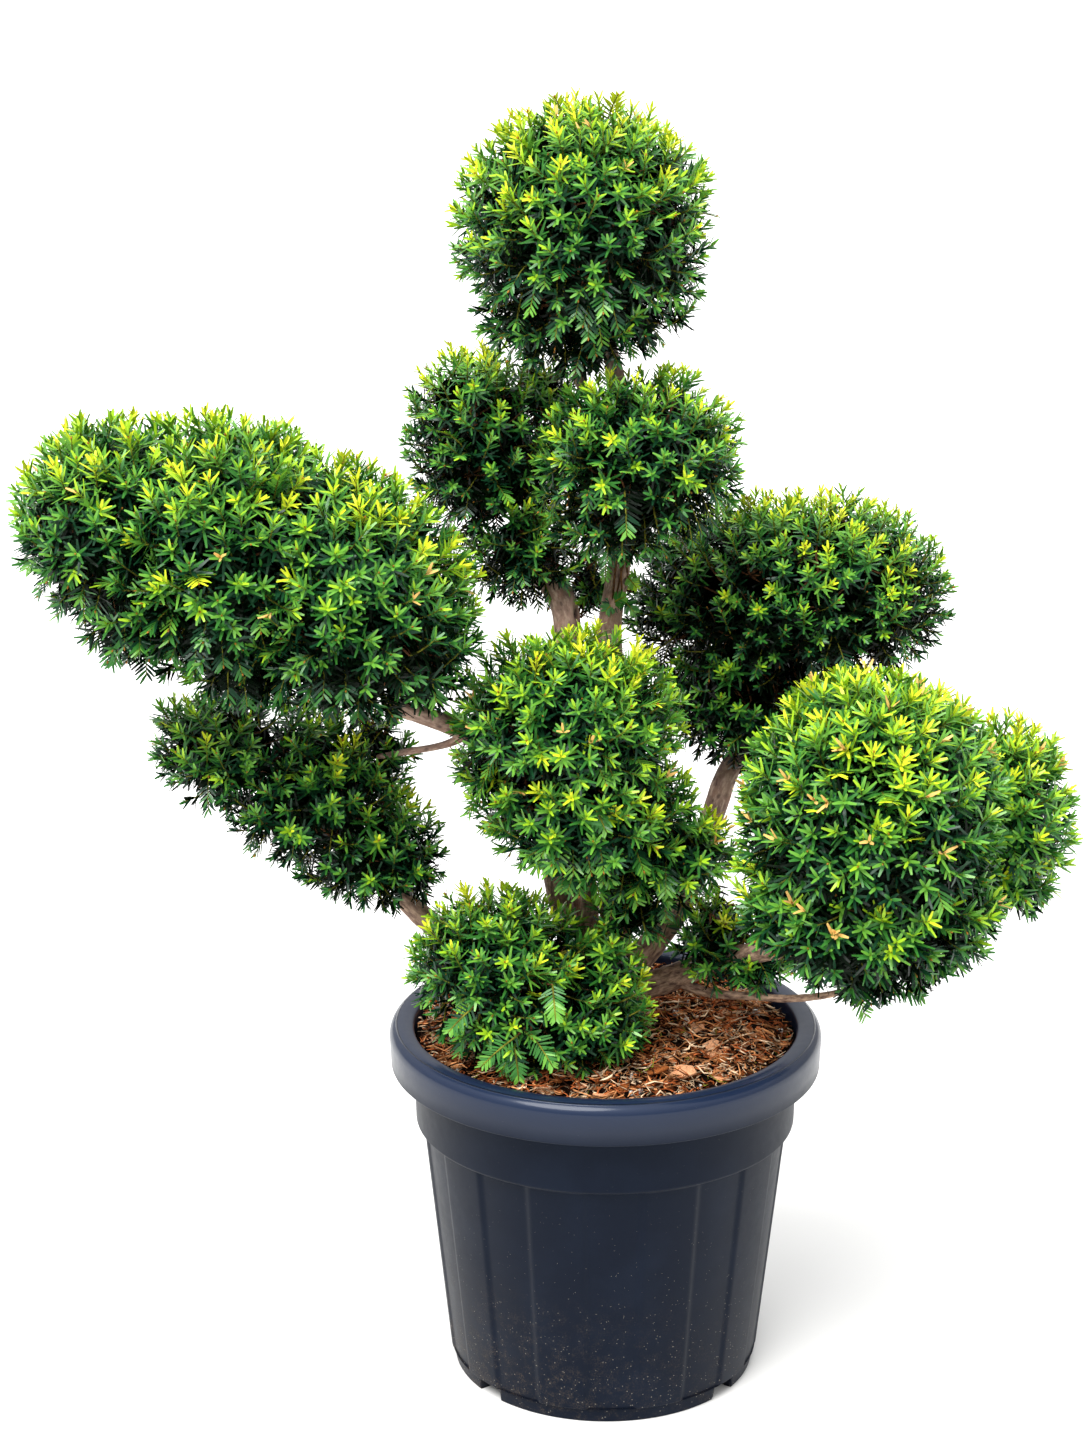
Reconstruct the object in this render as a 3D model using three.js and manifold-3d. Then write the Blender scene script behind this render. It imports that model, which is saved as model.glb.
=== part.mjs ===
// An Anglo-Japanese yew, cloud pruned as a large bonsai, in its round nursery pot.
// Millimetres, +Z up. The origin is the middle of the pot's underside, and the plant's front faces -Y.
// Pot, soil, trunk, each limb and each clipped mass of foliage is a closed solid of its own.
import * as THREE from 'three';
import { mergeVertices } from 'three/addons/utils/BufferGeometryUtils.js';
import Module from 'manifold-3d';

const wasm = await Module();
wasm.setup();

// Gap between solids that touch on the real plant, and the little more that a cut leaves
const GAP = 0.3;
const CUT_GAP = 0.33;

// Pot: overall size, and the radii and heights of its outline
const POT_HEIGHT = 407;
const RIM_RADIUS = 240;
const RIM_LOWER_EDGE = 360;
const RIM_CREST_RADIUS = 226;
const RIM_ROLL = 14;
const SHOULDER_RADIUS = 213;
const SHOULDER_FOOT_RADIUS = 211;
const SHOULDER_FOOT_HEIGHT = 293;
const WALL_TOP_RADIUS = 203;
const WALL_TOP_HEIGHT = 286;
const WALL_FOOT_RADIUS = 174;
const FOOT_HEIGHT = 16;
const FOOT_RADIUS = 170;
const FOOT_WIDTH = 17;
const PAD_RADIUS = 70;
const FLOOR_LIFT = 15;
const WALL_THICKNESS = 4;

// Pot: shallow upright panels pressed into the wall, and the gaps that part its four feet
const PANELS = 10;
const PANEL_WIDTH_DEG = 20;
const PANEL_STEP_DEG = 1;
const PANEL_DEPTH = 2.5;
const PANEL_PHASE_DEG = 3;
const FOOT_GAP_TURNS_DEG = [-130, -50, 50, 130];
const FOOT_GAP_DEG = 12;
const FOOT_PHASE_DEG = 2;
const FOOT_GAP_OVERRUN = 10;

// Soil: bark mulch just under the rim
const SOIL_TOP = 392;
const SOIL_DIP = 5;
const SOIL_RINGS = [165, 105, 50];
const SOIL_LEVEL_RADIUS = 75;
const SOIL_ROUGH_RADIUS = 130;

// Trunk: short, leaning a little back, with a root flare and one old pruning stub;
// its route starts below the level where its foot is cut flat
const TRUNK_ROUTE = [[-4, 46, SOIL_TOP - 18], [3, 42, 425], [6, 37, 458], [4, 31, 492]];
const TRUNK_FOOT_RADIUS = 41;
const TRUNK_TOP_RADIUS = 31;
const TRUNK_SIDES = 14;
const TRUNK_STEPS = 6;
const TRUNK_END_SHARE = 0.72;
const FLARE = 0.5;
const FLARE_HEIGHT = 22;
const FLARE_ROOTS = 4;
const FLARE_EVEN_SHARE = 0.6;
const FLARE_TURN = 0.6;
const STUB_ROUTE = [[14, 26, 452], [30, 10, 468], [38, 2, 476]];
const STUB_RADIUS = 10;

// Limbs: the limb that each grows from, its route, and its radius at the foot and the tip
const LIMBS = [
  { name: 'leader_right', from: ['trunk'], foot: 18, tip: 7.5,
    route: [[6, 33, 466], [11, 26, 515], [14, 20, 600], [9, 24, 760], [2, 20, 852],
      [9, 18, 900], [15, 15, 945], [14, 12, 1046], [5, 15, 1133], [-10, 18, 1172]] },
  { name: 'leader_left', from: ['trunk', 'leader_right'], foot: 17, tip: 13.5,
    route: [[-6, 36, 466], [-36, 38, 515], [-46, 38, 560], [-51, 42, 660], [-53, 46, 770], [-44, 52, 841],
      [-54, 66, 878], [-82, 80, 906]] },
  { name: 'stem_top', from: ['leader_right'], foot: 7, tip: 4.5,
    route: [[14, 12, 1046], [-12, 21, 1084], [-32, 25, 1120], [-37, 25, 1152]] },
  { name: 'bough_left', from: ['trunk', 'leader_right', 'leader_left'], foot: 13, tip: 9,
    route: [[-4, 36, 462], [-40, 18, 506], [-60, 6, 590], [-78, -12, 660], [-112, -44, 718],
      [-150, -72, 760], [-200, -94, 787], [-236, -104, 804]] },
  { name: 'bough_left_low', from: ['trunk', 'bough_left'], foot: 14, tip: 11,
    route: [[-2, 42, 424], [-50, 33, 442], [-100, 26, 466], [-190, 20, 508], [-230, 16, 547]] },
  { name: 'twig_left', from: ['bough_left'], foot: 4, tip: 3,
    route: [[-146, -70, 757], [-172, -56, 741], [-212, -40, 728], [-248, -22, 716]] },
  { name: 'bough_right_back', from: ['trunk', 'leader_right', 'leader_left'], foot: 14.5, tip: 11,
    route: [[8, 34, 450], [43, 36, 471], [57, 38, 489], [84, 54, 524], [118, 88, 614], [132, 98, 656],
      [149, 106, 687], [158, 110, 700]] },
  { name: 'bough_right_front', from: ['trunk', 'bough_right_back'], foot: 14.5, tip: 10,
    route: [[0, 42, 418], [30, 34, 426], [72, 25, 445], [115, 8, 470], [165, -34, 500],
      [212, -84, 528], [234, -112, 546]] },
  { name: 'bough_right_side', from: ['bough_right_front'], foot: 9, tip: 6,
    route: [[165, -34, 500], [232, -12, 522], [310, -4, 545], [376, -18, 572]] },
  { name: 'bough_right_thin', from: ['bough_right_front'], foot: 5, tip: 3,
    route: [[72, 25, 445], [112, 2, 438], [164, -30, 446], [205, -54, 454], [256, -82, 474],
      [280, -104, 500]] },
  { name: 'bough_front', from: ['trunk', 'leader_right', 'leader_left', 'bough_left'], foot: 10, tip: 8,
    route: [[-10, 26, 470], [-17, 8, 510], [-18, -22, 560], [-24, -52, 606]] },
  { name: 'bough_low_front', from: ['trunk', 'bough_left_low'], foot: 10, tip: 8,
    route: [[-4, 36, 414], [-26, 6, 430], [-44, -16, 444]] },
];
const LIMB_SIDES = 8;
const LIMB_STEP_LENGTH = 72;
const LIMB_TAPER_POWER = 1.3;
const BARK_SWELL = 0.06;

// Foliage: each mass is a cluster of lobes [x, y, z, radius x, radius y, radius z] that its tips reach,
// and hangs on the tip of one limb or on the side of one that runs through it
const MASSES = [
  { name: 'foliage_top', limb: 'leader_right',
    lobes: [[-26, 20, 1287, 136, 130, 131], [-31, 20, 1198, 105, 98, 74]] },
  { name: 'foliage_tier_left', limb: 'leader_left',
    lobes: [[-92, 85, 925, 65, 70, 70], [-129, 95, 1021, 95, 95, 112], [-167, 95, 1086, 47, 70, 47],
      [-69, 95, 1092, 42, 65, 42], [-20, 88, 882, 36, 45, 36]] },
  { name: 'foliage_tier_right', limb: 'leader_right', along: 0.8,
    lobes: [[32, -35, 1056, 112, 95, 91], [20, -30, 993, 88, 80, 54]] },
  { name: 'foliage_left', limb: 'bough_left',
    lobes: [[-270, -115, 927, 115, 135, 127], [-206, -100, 887, 75, 110, 91],
      [-384, -120, 971, 125, 140, 137], [-500, -110, 1000, 108, 120, 104], [-484, -112, 928, 75, 95, 81],
      [-376, -110, 862, 62, 80, 56]] },
  { name: 'foliage_left_low', limb: 'bough_left_low',
    lobes: [[-251, 15, 597, 79, 75, 70], [-318, 10, 668, 96, 95, 94], [-402, 0, 718, 84, 85, 66],
      [-449, 0, 742, 34, 45, 32], [-241, 0, 720, 32, 45, 26]] },
  { name: 'foliage_front', limb: 'bough_front',
    lobes: [[-23, -95, 690, 106, 95, 86], [-41, -100, 788, 121, 110, 96], [70, -60, 626, 71, 65, 54],
      [20, -70, 606, 50, 50, 36], [-120, -80, 722, 42, 60, 42], [27, -60, 556, 42, 45, 34]] },
  { name: 'foliage_low_front', limb: 'bough_low_front',
    lobes: [[-116, -80, 510, 98, 95, 78], [-70, -95, 448, 106, 80, 67], [-8, -70, 468, 52, 60, 78]] },
  { name: 'foliage_right_back', limb: 'bough_right_back',
    lobes: [[157, 120, 755, 107, 95, 98], [214, 120, 866, 168, 130, 122], [90, 115, 855, 73, 85, 84]] },
  { name: 'foliage_right_front', limb: 'bough_right_front',
    lobes: [[262, -160, 612, 122, 120, 94], [274, -170, 715, 137, 140, 141],
      [348, -150, 594, 60, 75, 49], [280, -148, 553, 42, 55, 62]] },
  { name: 'foliage_right_side', limb: 'bough_right_side',
    lobes: [[420, -30, 600, 60, 70, 54], [428, -30, 670, 76, 95, 98]] },
  { name: 'foliage_right_low', limb: 'bough_right_front', along: 0.45,
    lobes: [[121, 10, 508, 51, 50, 46], [153, -10, 483, 57, 45, 37]] },
];

// Clipped core of a mass: how deep it lies under the tips, how far its ball is widened to make up
// for flat faces, how lumpy it is, and the most that joining its balls may move a face
const CORE_DEPTH = 28;
const CORE_LEAST_SHARE = 0.4;
const CORE_WIDENING = 1.03;
const CORE_LUMPS = 0.023;
const CORE_TOLERANCE = 4;
const MERGE_TOLERANCE = 0.02;
const SOIL_CLEARANCE = 10;
const STEM_SIDES = 5;
const STEM_SHARE = 0.9;
const SIDE_STEM_SHARE = 0.5;
const BRANCH_FOOT_SHARE = 0.9;
const BRANCH_TIP_SHARE = 0.4;

// Shoots: each is a twig with a star of needles round its tip, larger and fewer than real ones
const SHOOT_SPACING = 88;
const SHOOT_TRY_SPACING = 45;
const SHOOT_LIFT = 0.35;
const SPRAY_LENGTH = 26;
const SPRAY_RADIUS = 34;
const SPRAY_NEEDLES = 4;
const SPRAY_CORE_SHARE = 0.22;
const SPRAY_SEAT_SHARE = 0.35;
const SPRAY_LEAST_REACH = 0.8;
const SPRAY_MOST_REACH = 1.2;
const SPRAY_FULL_LOBE = 75;
const BURIED_DEPTH = 8;
const TWIG_RADIUS = 3;
const TWIG_START_SHARE = 0.45;
const SPACE_MARGIN = 5;
const LIMB_CLEARANCE = 1.5;
const GOLDEN_ANGLE = Math.PI * (3 - Math.sqrt(5));

// Colours, with roughness
const POT_FINISH = { color: 0x2b303c, roughness: 0.62 };
const SOIL_FINISH = { color: 0x6b3f2a, roughness: 0.95 };
const BARK_FINISH = { color: 0x7d6656, roughness: 0.85 };
const FOLIAGE_FINISH = { color: 0x3f7a2c, roughness: 0.6 };

// A number from 0 to 1 that depends only on the two counters, so the plant grows alike each time
function seeded(count, channel) {
  const wave = Math.sin(count * 12.9898 + channel * 78.233) * 43758.5453;
  return wave - Math.floor(wave);
}

function vector(triple) {
  return new THREE.Vector3(...triple);
}

function radians(degrees) {
  return THREE.MathUtils.degToRad(degrees);
}

// A closed skin over rings of equal count, each counter-clockwise about the way they follow each other,
// with a fan to one point at both ends
function ringGeometry(rings, firstPoint, lastPoint) {
  const count = rings[0].length;
  const points = [firstPoint, ...rings.flat(), lastPoint];
  const last = points.length - 1;
  const faces = [];
  for (let k = 0; k < count; k += 1) {
    const next = (k + 1) % count;
    faces.push(0, 1 + next, 1 + k);
    for (let ring = 0; ring < rings.length - 1; ring += 1) {
      const lower = 1 + ring * count;
      const upper = lower + count;
      faces.push(lower + k, lower + next, upper + next);
      faces.push(lower + k, upper + next, upper + k);
    }
    faces.push(last - count + k, last - count + next, last);
  }
  const geometry = new THREE.BufferGeometry().setFromPoints(points);
  geometry.setIndex(faces);
  return geometry;
}

function toSolid(geometry) {
  const bare = geometry.clone();
  bare.deleteAttribute('normal');
  bare.deleteAttribute('uv');
  const merged = mergeVertices(bare);
  const vertProperties = new Float32Array(merged.attributes.position.array);
  const triVerts = new Uint32Array(merged.index.array);
  return new wasm.Manifold(new wasm.Mesh({ numProp: 3, vertProperties, triVerts }));
}

function toGeometry(solid) {
  const mesh = solid.getMesh();
  const geometry = new THREE.BufferGeometry();
  geometry.setAttribute('position', new THREE.BufferAttribute(mesh.vertProperties, 3));
  geometry.setIndex(new THREE.BufferAttribute(mesh.triVerts, 1));
  geometry.computeVertexNormals();
  return geometry;
}

// The largest body that is left after a cut, without loose scraps and sealed hollows
function largestBody(solid) {
  const bodies = solid.decompose();
  return bodies.reduce((best, body) => (body.volume() > best.volume() ? body : best));
}

function touches(solid, other) {
  const a = solid.boundingBox();
  const b = other.boundingBox();
  const apart = [0, 1, 2].some((axis) => a.min[axis] > b.max[axis] || b.min[axis] > a.max[axis]);
  return !apart && !solid.intersect(other).isEmpty();
}

// Angles round the pot, with points at both sides of each panel's two steps
function potAngles() {
  const pitch = 360 / PANELS;
  const half = PANEL_WIDTH_DEG / 2;
  const offsets = [-half, -half + PANEL_STEP_DEG, 0, half - PANEL_STEP_DEG, half, pitch / 2];
  const angles = [];
  for (let panel = 0; panel < PANELS; panel += 1) {
    offsets.forEach((offset, place) => {
      const pressed = place > 0 && place < 4;
      angles.push({ turn: radians(panel * pitch + offset + PANEL_PHASE_DEG - 90), pressed });
    });
  }
  return angles;
}

function potRing(radius, height, depth = 0) {
  return potAngles().map(({ turn, pressed }) => {
    const reach = radius - (pressed ? depth : 0);
    return new THREE.Vector3(reach * Math.cos(turn), reach * Math.sin(turn), height);
  });
}

// The pot's inner wall, from the floor up to the rim's roll
const INNER_PROFILE = [
  [WALL_FOOT_RADIUS - PANEL_DEPTH - WALL_THICKNESS, FLOOR_LIFT + 2 * WALL_THICKNESS],
  [WALL_TOP_RADIUS - PANEL_DEPTH - WALL_THICKNESS, WALL_TOP_HEIGHT],
  [SHOULDER_RADIUS - WALL_THICKNESS, RIM_LOWER_EDGE],
  [RIM_CREST_RADIUS - RIM_ROLL, POT_HEIGHT - RIM_ROLL],
];

// A cup with a rolled rim, a stepped shoulder, pressed wall panels and a foot ring in four lengths
function makePot() {
  const roll = RIM_ROLL * Math.SQRT1_2;
  const outline = [
    [PAD_RADIUS, 0],
    [PAD_RADIUS + 2, FLOOR_LIFT],
    [FOOT_RADIUS - FOOT_WIDTH, FLOOR_LIFT],
    [FOOT_RADIUS - FOOT_WIDTH + 1, 0],
    [FOOT_RADIUS - 1, 0],
    [FOOT_RADIUS, FOOT_HEIGHT],
    [WALL_FOOT_RADIUS, FOOT_HEIGHT + 1, PANEL_DEPTH],
    [WALL_TOP_RADIUS, WALL_TOP_HEIGHT, PANEL_DEPTH],
    [SHOULDER_FOOT_RADIUS, SHOULDER_FOOT_HEIGHT],
    [SHOULDER_RADIUS, RIM_LOWER_EDGE - 2],
    [RIM_RADIUS - 2, RIM_LOWER_EDGE],
    [RIM_RADIUS, POT_HEIGHT - RIM_ROLL],
    [RIM_CREST_RADIUS + roll, POT_HEIGHT - RIM_ROLL + roll],
    [RIM_CREST_RADIUS, POT_HEIGHT],
    [RIM_CREST_RADIUS - roll, POT_HEIGHT - RIM_ROLL + roll],
    ...INNER_PROFILE.toReversed(),
  ];
  const rings = outline.map(([radius, height, depth]) => potRing(radius, height, depth));
  const floorHeight = INNER_PROFILE[0][1];
  const cup = toSolid(ringGeometry(rings, vector([0, 0, 0]), vector([0, 0, floorHeight])));
  const gapWidth = 2 * FOOT_RADIUS * Math.sin(radians(FOOT_GAP_DEG / 2));
  const gapInner = PAD_RADIUS + FOOT_GAP_OVERRUN;
  const gapOuter = FOOT_RADIUS + FOOT_GAP_OVERRUN;
  let pot = cup;
  FOOT_GAP_TURNS_DEG.forEach((turn) => {
    const notch = new THREE.BoxGeometry(gapOuter - gapInner, gapWidth, 2 * FLOOR_LIFT);
    notch.translate((gapOuter + gapInner) / 2, 0, 0);
    notch.rotateZ(radians(FOOT_PHASE_DEG - 90 + turn));
    pot = pot.subtract(toSolid(notch));
  });
  return largestBody(pot);
}

// A plug of soil that fills the pot, with an uneven top that is level under the trunk
function makeSoil() {
  const trunkFoot = vector(TRUNK_ROUTE[0]);
  const sides = INNER_PROFILE.slice(0, 3).map(([radius, height]) => potRing(radius - GAP, height));
  sides[0].forEach((point) => point.setZ(point.z + GAP));
  const [rimRadius, rimHeight] = INNER_PROFILE[3];
  const [lowRadius, lowHeight] = INNER_PROFILE[2];
  const share = (SOIL_TOP - SOIL_DIP - lowHeight) / (rimHeight - lowHeight);
  const edge = potRing(THREE.MathUtils.lerp(lowRadius, rimRadius, share) - GAP, SOIL_TOP - SOIL_DIP);
  const top = SOIL_RINGS.map((radius) => potRing(radius, SOIL_TOP));
  top.flat().forEach((point, count) => {
    const away = Math.hypot(point.x - trunkFoot.x, point.y - trunkFoot.y);
    const unevenness = THREE.MathUtils.smoothstep(away, SOIL_LEVEL_RADIUS, SOIL_ROUGH_RADIUS);
    point.setZ(SOIL_TOP - SOIL_DIP * unevenness * seeded(count, 1));
  });
  const base = vector([0, 0, sides[0][0].z]);
  const crown = vector([0, 0, SOIL_TOP]);
  return toSolid(ringGeometry([...sides, edge, ...top], base, crown));
}

// A round tapering tube along a smooth route, with ends cut square; the radius may vary with the turn
function tube(route, sides, steps, radiusAt, extra = 0) {
  const curve = new THREE.CatmullRomCurve3(route.map(vector), false, 'centripetal');
  const frames = curve.computeFrenetFrames(steps, false);
  const stretch = extra > 0 ? GAP : 0;
  const rings = [];
  for (let step = 0; step <= steps; step += 1) {
    const share = step / steps;
    const middle = curve.getPointAt(share);
    if (step === steps) {
      middle.addScaledVector(frames.tangents[step], stretch);
    }
    const ring = [];
    for (let side = 0; side < sides; side += 1) {
      const turn = (side / sides) * 2 * Math.PI;
      const radius = radiusAt(share, turn) + extra;
      const point = middle.clone();
      point.addScaledVector(frames.normals[step], radius * Math.cos(turn));
      point.addScaledVector(frames.binormals[step], radius * Math.sin(turn));
      ring.push(point);
    }
    rings.push(ring);
  }
  const middleOf = (ring) => ring.reduce((sum, point) => sum.add(point), new THREE.Vector3())
    .divideScalar(sides);
  return toSolid(ringGeometry(rings, middleOf(rings[0]), middleOf(rings.at(-1))));
}

// The trunk widens into the tops of its roots, and is cut level just clear of the soil
function trunkBody(extra) {
  const height = TRUNK_ROUTE.at(-1)[2] - TRUNK_ROUTE[0][2];
  const radiusAt = (share, turn) => {
    const plain = THREE.MathUtils.lerp(TRUNK_FOOT_RADIUS, TRUNK_TOP_RADIUS, share);
    const flare = FLARE * Math.exp((-share * height) / FLARE_HEIGHT);
    const root = Math.cos(FLARE_ROOTS * turn + FLARE_TURN);
    const roots = FLARE_EVEN_SHARE + (1 - FLARE_EVEN_SHARE) * root;
    const dome = share === 1 ? TRUNK_END_SHARE : 1;
    return plain * dome * (1 + flare * roots + 0.5 * BARK_SWELL * Math.sin(3 * turn + 7 * share));
  };
  const post = tube(TRUNK_ROUTE, TRUNK_SIDES, TRUNK_STEPS, radiusAt, extra);
  const stub = tube(STUB_ROUTE, LIMB_SIDES, 2, () => STUB_RADIUS, extra);
  const level = SOIL_TOP + GAP - extra;
  return post.add(stub).trimByPlane([0, 0, 1], level);
}

function limbCurve(limb) {
  return new THREE.CatmullRomCurve3(limb.route.map(vector), false, 'centripetal');
}

function limbRadius(limb, share) {
  return THREE.MathUtils.lerp(limb.foot, limb.tip, share ** LIMB_TAPER_POWER);
}

function limbBody(limb, extra) {
  const length = limbCurve(limb).getLength();
  const steps = Math.max(3, Math.round(length / LIMB_STEP_LENGTH));
  const radiusAt = (share, turn) => {
    const swell = 1 + BARK_SWELL * Math.sin(2 * turn + 11 * share + limb.foot);
    return limbRadius(limb, share) * swell;
  };
  return tube(limb.route, LIMB_SIDES, steps, radiusAt, extra);
}

// Distance from a point to the surface of a lobe along its radius, negative inside
function lobeDistance(point, lobe) {
  const offset = point.clone().sub(vector(lobe.slice(0, 3)));
  const scaled = offset.clone().divide(vector(lobe.slice(3)));
  const depth = Math.max(scaled.length(), 1e-6);
  return offset.length() * (1 - 1 / depth);
}

function massDistance(point, mass) {
  return Math.min(...mass.lobes.map((lobe) => lobeDistance(point, lobe)));
}

// A point is in a mass's own space where the mass is nearer than any other, clear of pot and soil
function inOwnSpace(point, mass) {
  const own = massDistance(point, mass);
  const crowded = MASSES.some((other) => other !== mass && massDistance(point, other) < own + SPACE_MARGIN);
  const potReach = Math.hypot(point.x, point.y);
  const overRim = potReach > RIM_CREST_RADIUS - RIM_ROLL - SPACE_MARGIN;
  const floor = overRim ? POT_HEIGHT : SOIL_TOP;
  return own < SPACE_MARGIN && !crowded && point.z > floor + SPACE_MARGIN;
}

// One lumpy ball inside a lobe
function coreBall(lobe, seed) {
  const middle = vector(lobe.slice(0, 3));
  const coreRadius = (radius) => Math.max(radius - CORE_DEPTH, CORE_LEAST_SHARE * radius);
  const radii = vector(lobe.slice(3).map(coreRadius));
  const ball = new THREE.IcosahedronGeometry(CORE_WIDENING, 1);
  const place = ball.attributes.position;
  const point = new THREE.Vector3();
  for (let k = 0; k < place.count; k += 1) {
    point.fromBufferAttribute(place, k);
    const sideLumps = Math.sin(4 * point.x + seed) + Math.sin(5 * point.y + 2 * seed);
    const lumps = sideLumps + Math.sin(4 * point.z - seed);
    point.multiplyScalar(1 + CORE_LUMPS * lumps).multiply(radii).add(middle);
    place.setXYZ(k, point.x, point.y, point.z);
  }
  return toSolid(ball);
}

// Points round an axis: each one's reach from it and its place along it are worked out
function pointsRound(base, axis, count, reachOf, alongOf) {
  const side = new THREE.Vector3(axis.y, axis.z, axis.x).cross(axis).normalize();
  const across = axis.clone().cross(side);
  return Array.from({ length: count }, (unused, k) => {
    const turn = (k * 2 * Math.PI) / count;
    return base.clone()
      .addScaledVector(axis, alongOf(k))
      .addScaledVector(side, reachOf(k) * Math.cos(turn))
      .addScaledVector(across, reachOf(k) * Math.sin(turn));
  });
}

// One shoot in one skin: a three-sided twig that opens into needles round its tip, like a star
function shootGeometry(from, root, axis, scale, seed) {
  const needleCount = 2 * SPRAY_NEEDLES;
  const isNeedle = (k) => k % 2 === 0;
  const reachOf = (k) => {
    const needle = THREE.MathUtils.lerp(SPRAY_LEAST_REACH, SPRAY_MOST_REACH, seeded(seed, k));
    return scale * SPRAY_RADIUS * (isNeedle(k) ? needle : SPRAY_CORE_SHARE);
  };
  const alongOf = (k) => {
    const forward = isNeedle(k) ? seeded(seed, k + needleCount + 1) : 0;
    return scale * SPRAY_LENGTH * SPRAY_SEAT_SHARE * (1 + forward);
  };
  const spray = pointsRound(root, axis, needleCount, reachOf, alongOf);
  const twigFoot = pointsRound(from, axis, 3, () => TWIG_RADIUS, () => 0);
  const twigHead = pointsRound(root, axis, 3, () => TWIG_RADIUS, () => 0);
  const tip = root.clone().addScaledVector(axis, scale * SPRAY_LENGTH);
  const faces = [0, 2, 1];
  for (let k = 0; k < 3; k += 1) {
    const next = (k + 1) % 3;
    faces.push(k, next, 3 + next, k, 3 + next, 3 + k);
  }
  const nearestCorner = (k) => 3 + (Math.floor((3 * k) / needleCount + 0.5) % 3);
  const last = 6 + needleCount;
  for (let k = 0; k < needleCount; k += 1) {
    const next = (k + 1) % needleCount;
    const corner = nearestCorner(k);
    faces.push(corner, 6 + next, 6 + k);
    if (nearestCorner(next) !== corner) {
      faces.push(corner, nearestCorner(next), 6 + next);
    }
    faces.push(6 + k, 6 + next, last);
  }
  const geometry = new THREE.BufferGeometry().setFromPoints([...twigFoot, ...twigHead, ...spray, tip]);
  geometry.setIndex(faces);
  return { geometry, outer: [...spray, tip] };
}

// Shoots tried in evenly spread directions out of each lobe, each kept where it has room of its own
function massShoots(mass, index, clearLimbs) {
  const bodies = [];
  const tips = [];
  mass.lobes.forEach((lobe, lobeIndex) => {
    const middle = vector(lobe.slice(0, 3));
    const radii = vector(lobe.slice(3));
    const area = (4 * Math.PI * (lobe[3] * lobe[4] + lobe[4] * lobe[5] + lobe[5] * lobe[3])) / 3;
    const tries = Math.round(area / SHOOT_TRY_SPACING ** 2);
    const scale = Math.min(1, Math.min(...lobe.slice(3)) / SPRAY_FULL_LOBE);
    for (let k = 0; k < tries; k += 1) {
      const seed = 100 * (10 * index + lobeIndex) + k;
      const rise = 1 - (2 * k) / (tries - 1);
      const flat = Math.sqrt(1 - rise * rise);
      const turn = k * GOLDEN_ANGLE;
      const way = new THREE.Vector3(flat * Math.cos(turn), flat * Math.sin(turn), rise);
      const tip = middle.clone().add(way.clone().multiply(radii));
      const crowded = tips.some((other) => other.distanceTo(tip) < scale * SHOOT_SPACING);
      const buried = massDistance(tip, mass) < -BURIED_DEPTH;
      if (crowded || buried) {
        continue;
      }
      const axis = way.clone().divide(radii).normalize();
      axis.z += SHOOT_LIFT * (1 - Math.abs(rise));
      axis.normalize();
      const root = tip.clone().addScaledVector(axis, -scale * SPRAY_LENGTH);
      const from = middle.clone().lerp(root, TWIG_START_SHARE);
      const { geometry, outer } = shootGeometry(from, root, axis, scale, seed);
      if (!outer.every((point) => inOwnSpace(point, mass))) {
        continue;
      }
      const body = toSolid(geometry);
      if (!clearLimbs.some(({ wide }) => touches(body, wide))) {
        bodies.push(body);
        tips.push(tip);
      }
    }
  });
  return bodies;
}

// The mass's own wood: a stem from just clear of its limb to the middle of the first lobe,
// and a branch from there to the middle of each other lobe
function massWood(mass, limb) {
  const curve = limbCurve(limb);
  const share = mass.along ?? 1;
  const radius = limbRadius(limb, share);
  const start = curve.getPointAt(share);
  const fork = vector(mass.lobes[0].slice(0, 3));
  const heading = share < 1 ? fork.clone().sub(start).normalize() : curve.getTangentAt(share);
  start.addScaledVector(heading, share < 1 ? SIDE_STEM_SHARE * radius : CUT_GAP);
  const bend = start.clone().addScaledVector(heading, 2 * radius);
  const stemRadius = radius * (share < 1 ? SIDE_STEM_SHARE : STEM_SHARE);
  const stem = tube([start, bend, fork].map((point) => point.toArray()), STEM_SIDES, 2, () => stemRadius);
  const branchRadius = (along) => (
    stemRadius * THREE.MathUtils.lerp(BRANCH_FOOT_SHARE, BRANCH_TIP_SHARE, along)
  );
  const branches = mass.lobes.slice(1).map((lobe) => (
    tube([fork.toArray(), lobe.slice(0, 3)], STEM_SIDES, 1, branchRadius)
  ));
  return [stem, ...branches];
}

// A clipped mass: a core cut clear of soil and limbs, with shoots that stand out of it
function makeMass(mass, index, clearLimbs) {
  const limb = LIMBS.find(({ name }) => name === mass.limb);
  const balls = mass.lobes.map((lobe, k) => coreBall(lobe, index + 0.7 * k));
  const wood = massWood(mass, limb);
  const rough = wasm.Manifold.union([...balls, ...wood]).simplify(CORE_TOLERANCE);
  let core = rough.trimByPlane([0, 0, 1], SOIL_TOP + SOIL_CLEARANCE);
  clearLimbs.forEach((clear) => {
    core = core.subtract(clear.body);
  });
  core = largestBody(core);
  const shoots = massShoots(mass, index, clearLimbs);
  return largestBody(wasm.Manifold.union([core, ...shoots])).simplify(MERGE_TOLERANCE);
}

// A named piece of the plant with its finish
function finished(name, solid, finish) {
  const material = new THREE.MeshStandardMaterial({ ...finish, metalness: 0, flatShading: true });
  const mesh = new THREE.Mesh(toGeometry(solid), material);
  mesh.name = name;
  return mesh;
}

const plant = new THREE.Group();
plant.add(finished('pot', makePot(), POT_FINISH));
plant.add(finished('soil', makeSoil(), SOIL_FINISH));
plant.add(finished('trunk', trunkBody(0), BARK_FINISH));

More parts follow.
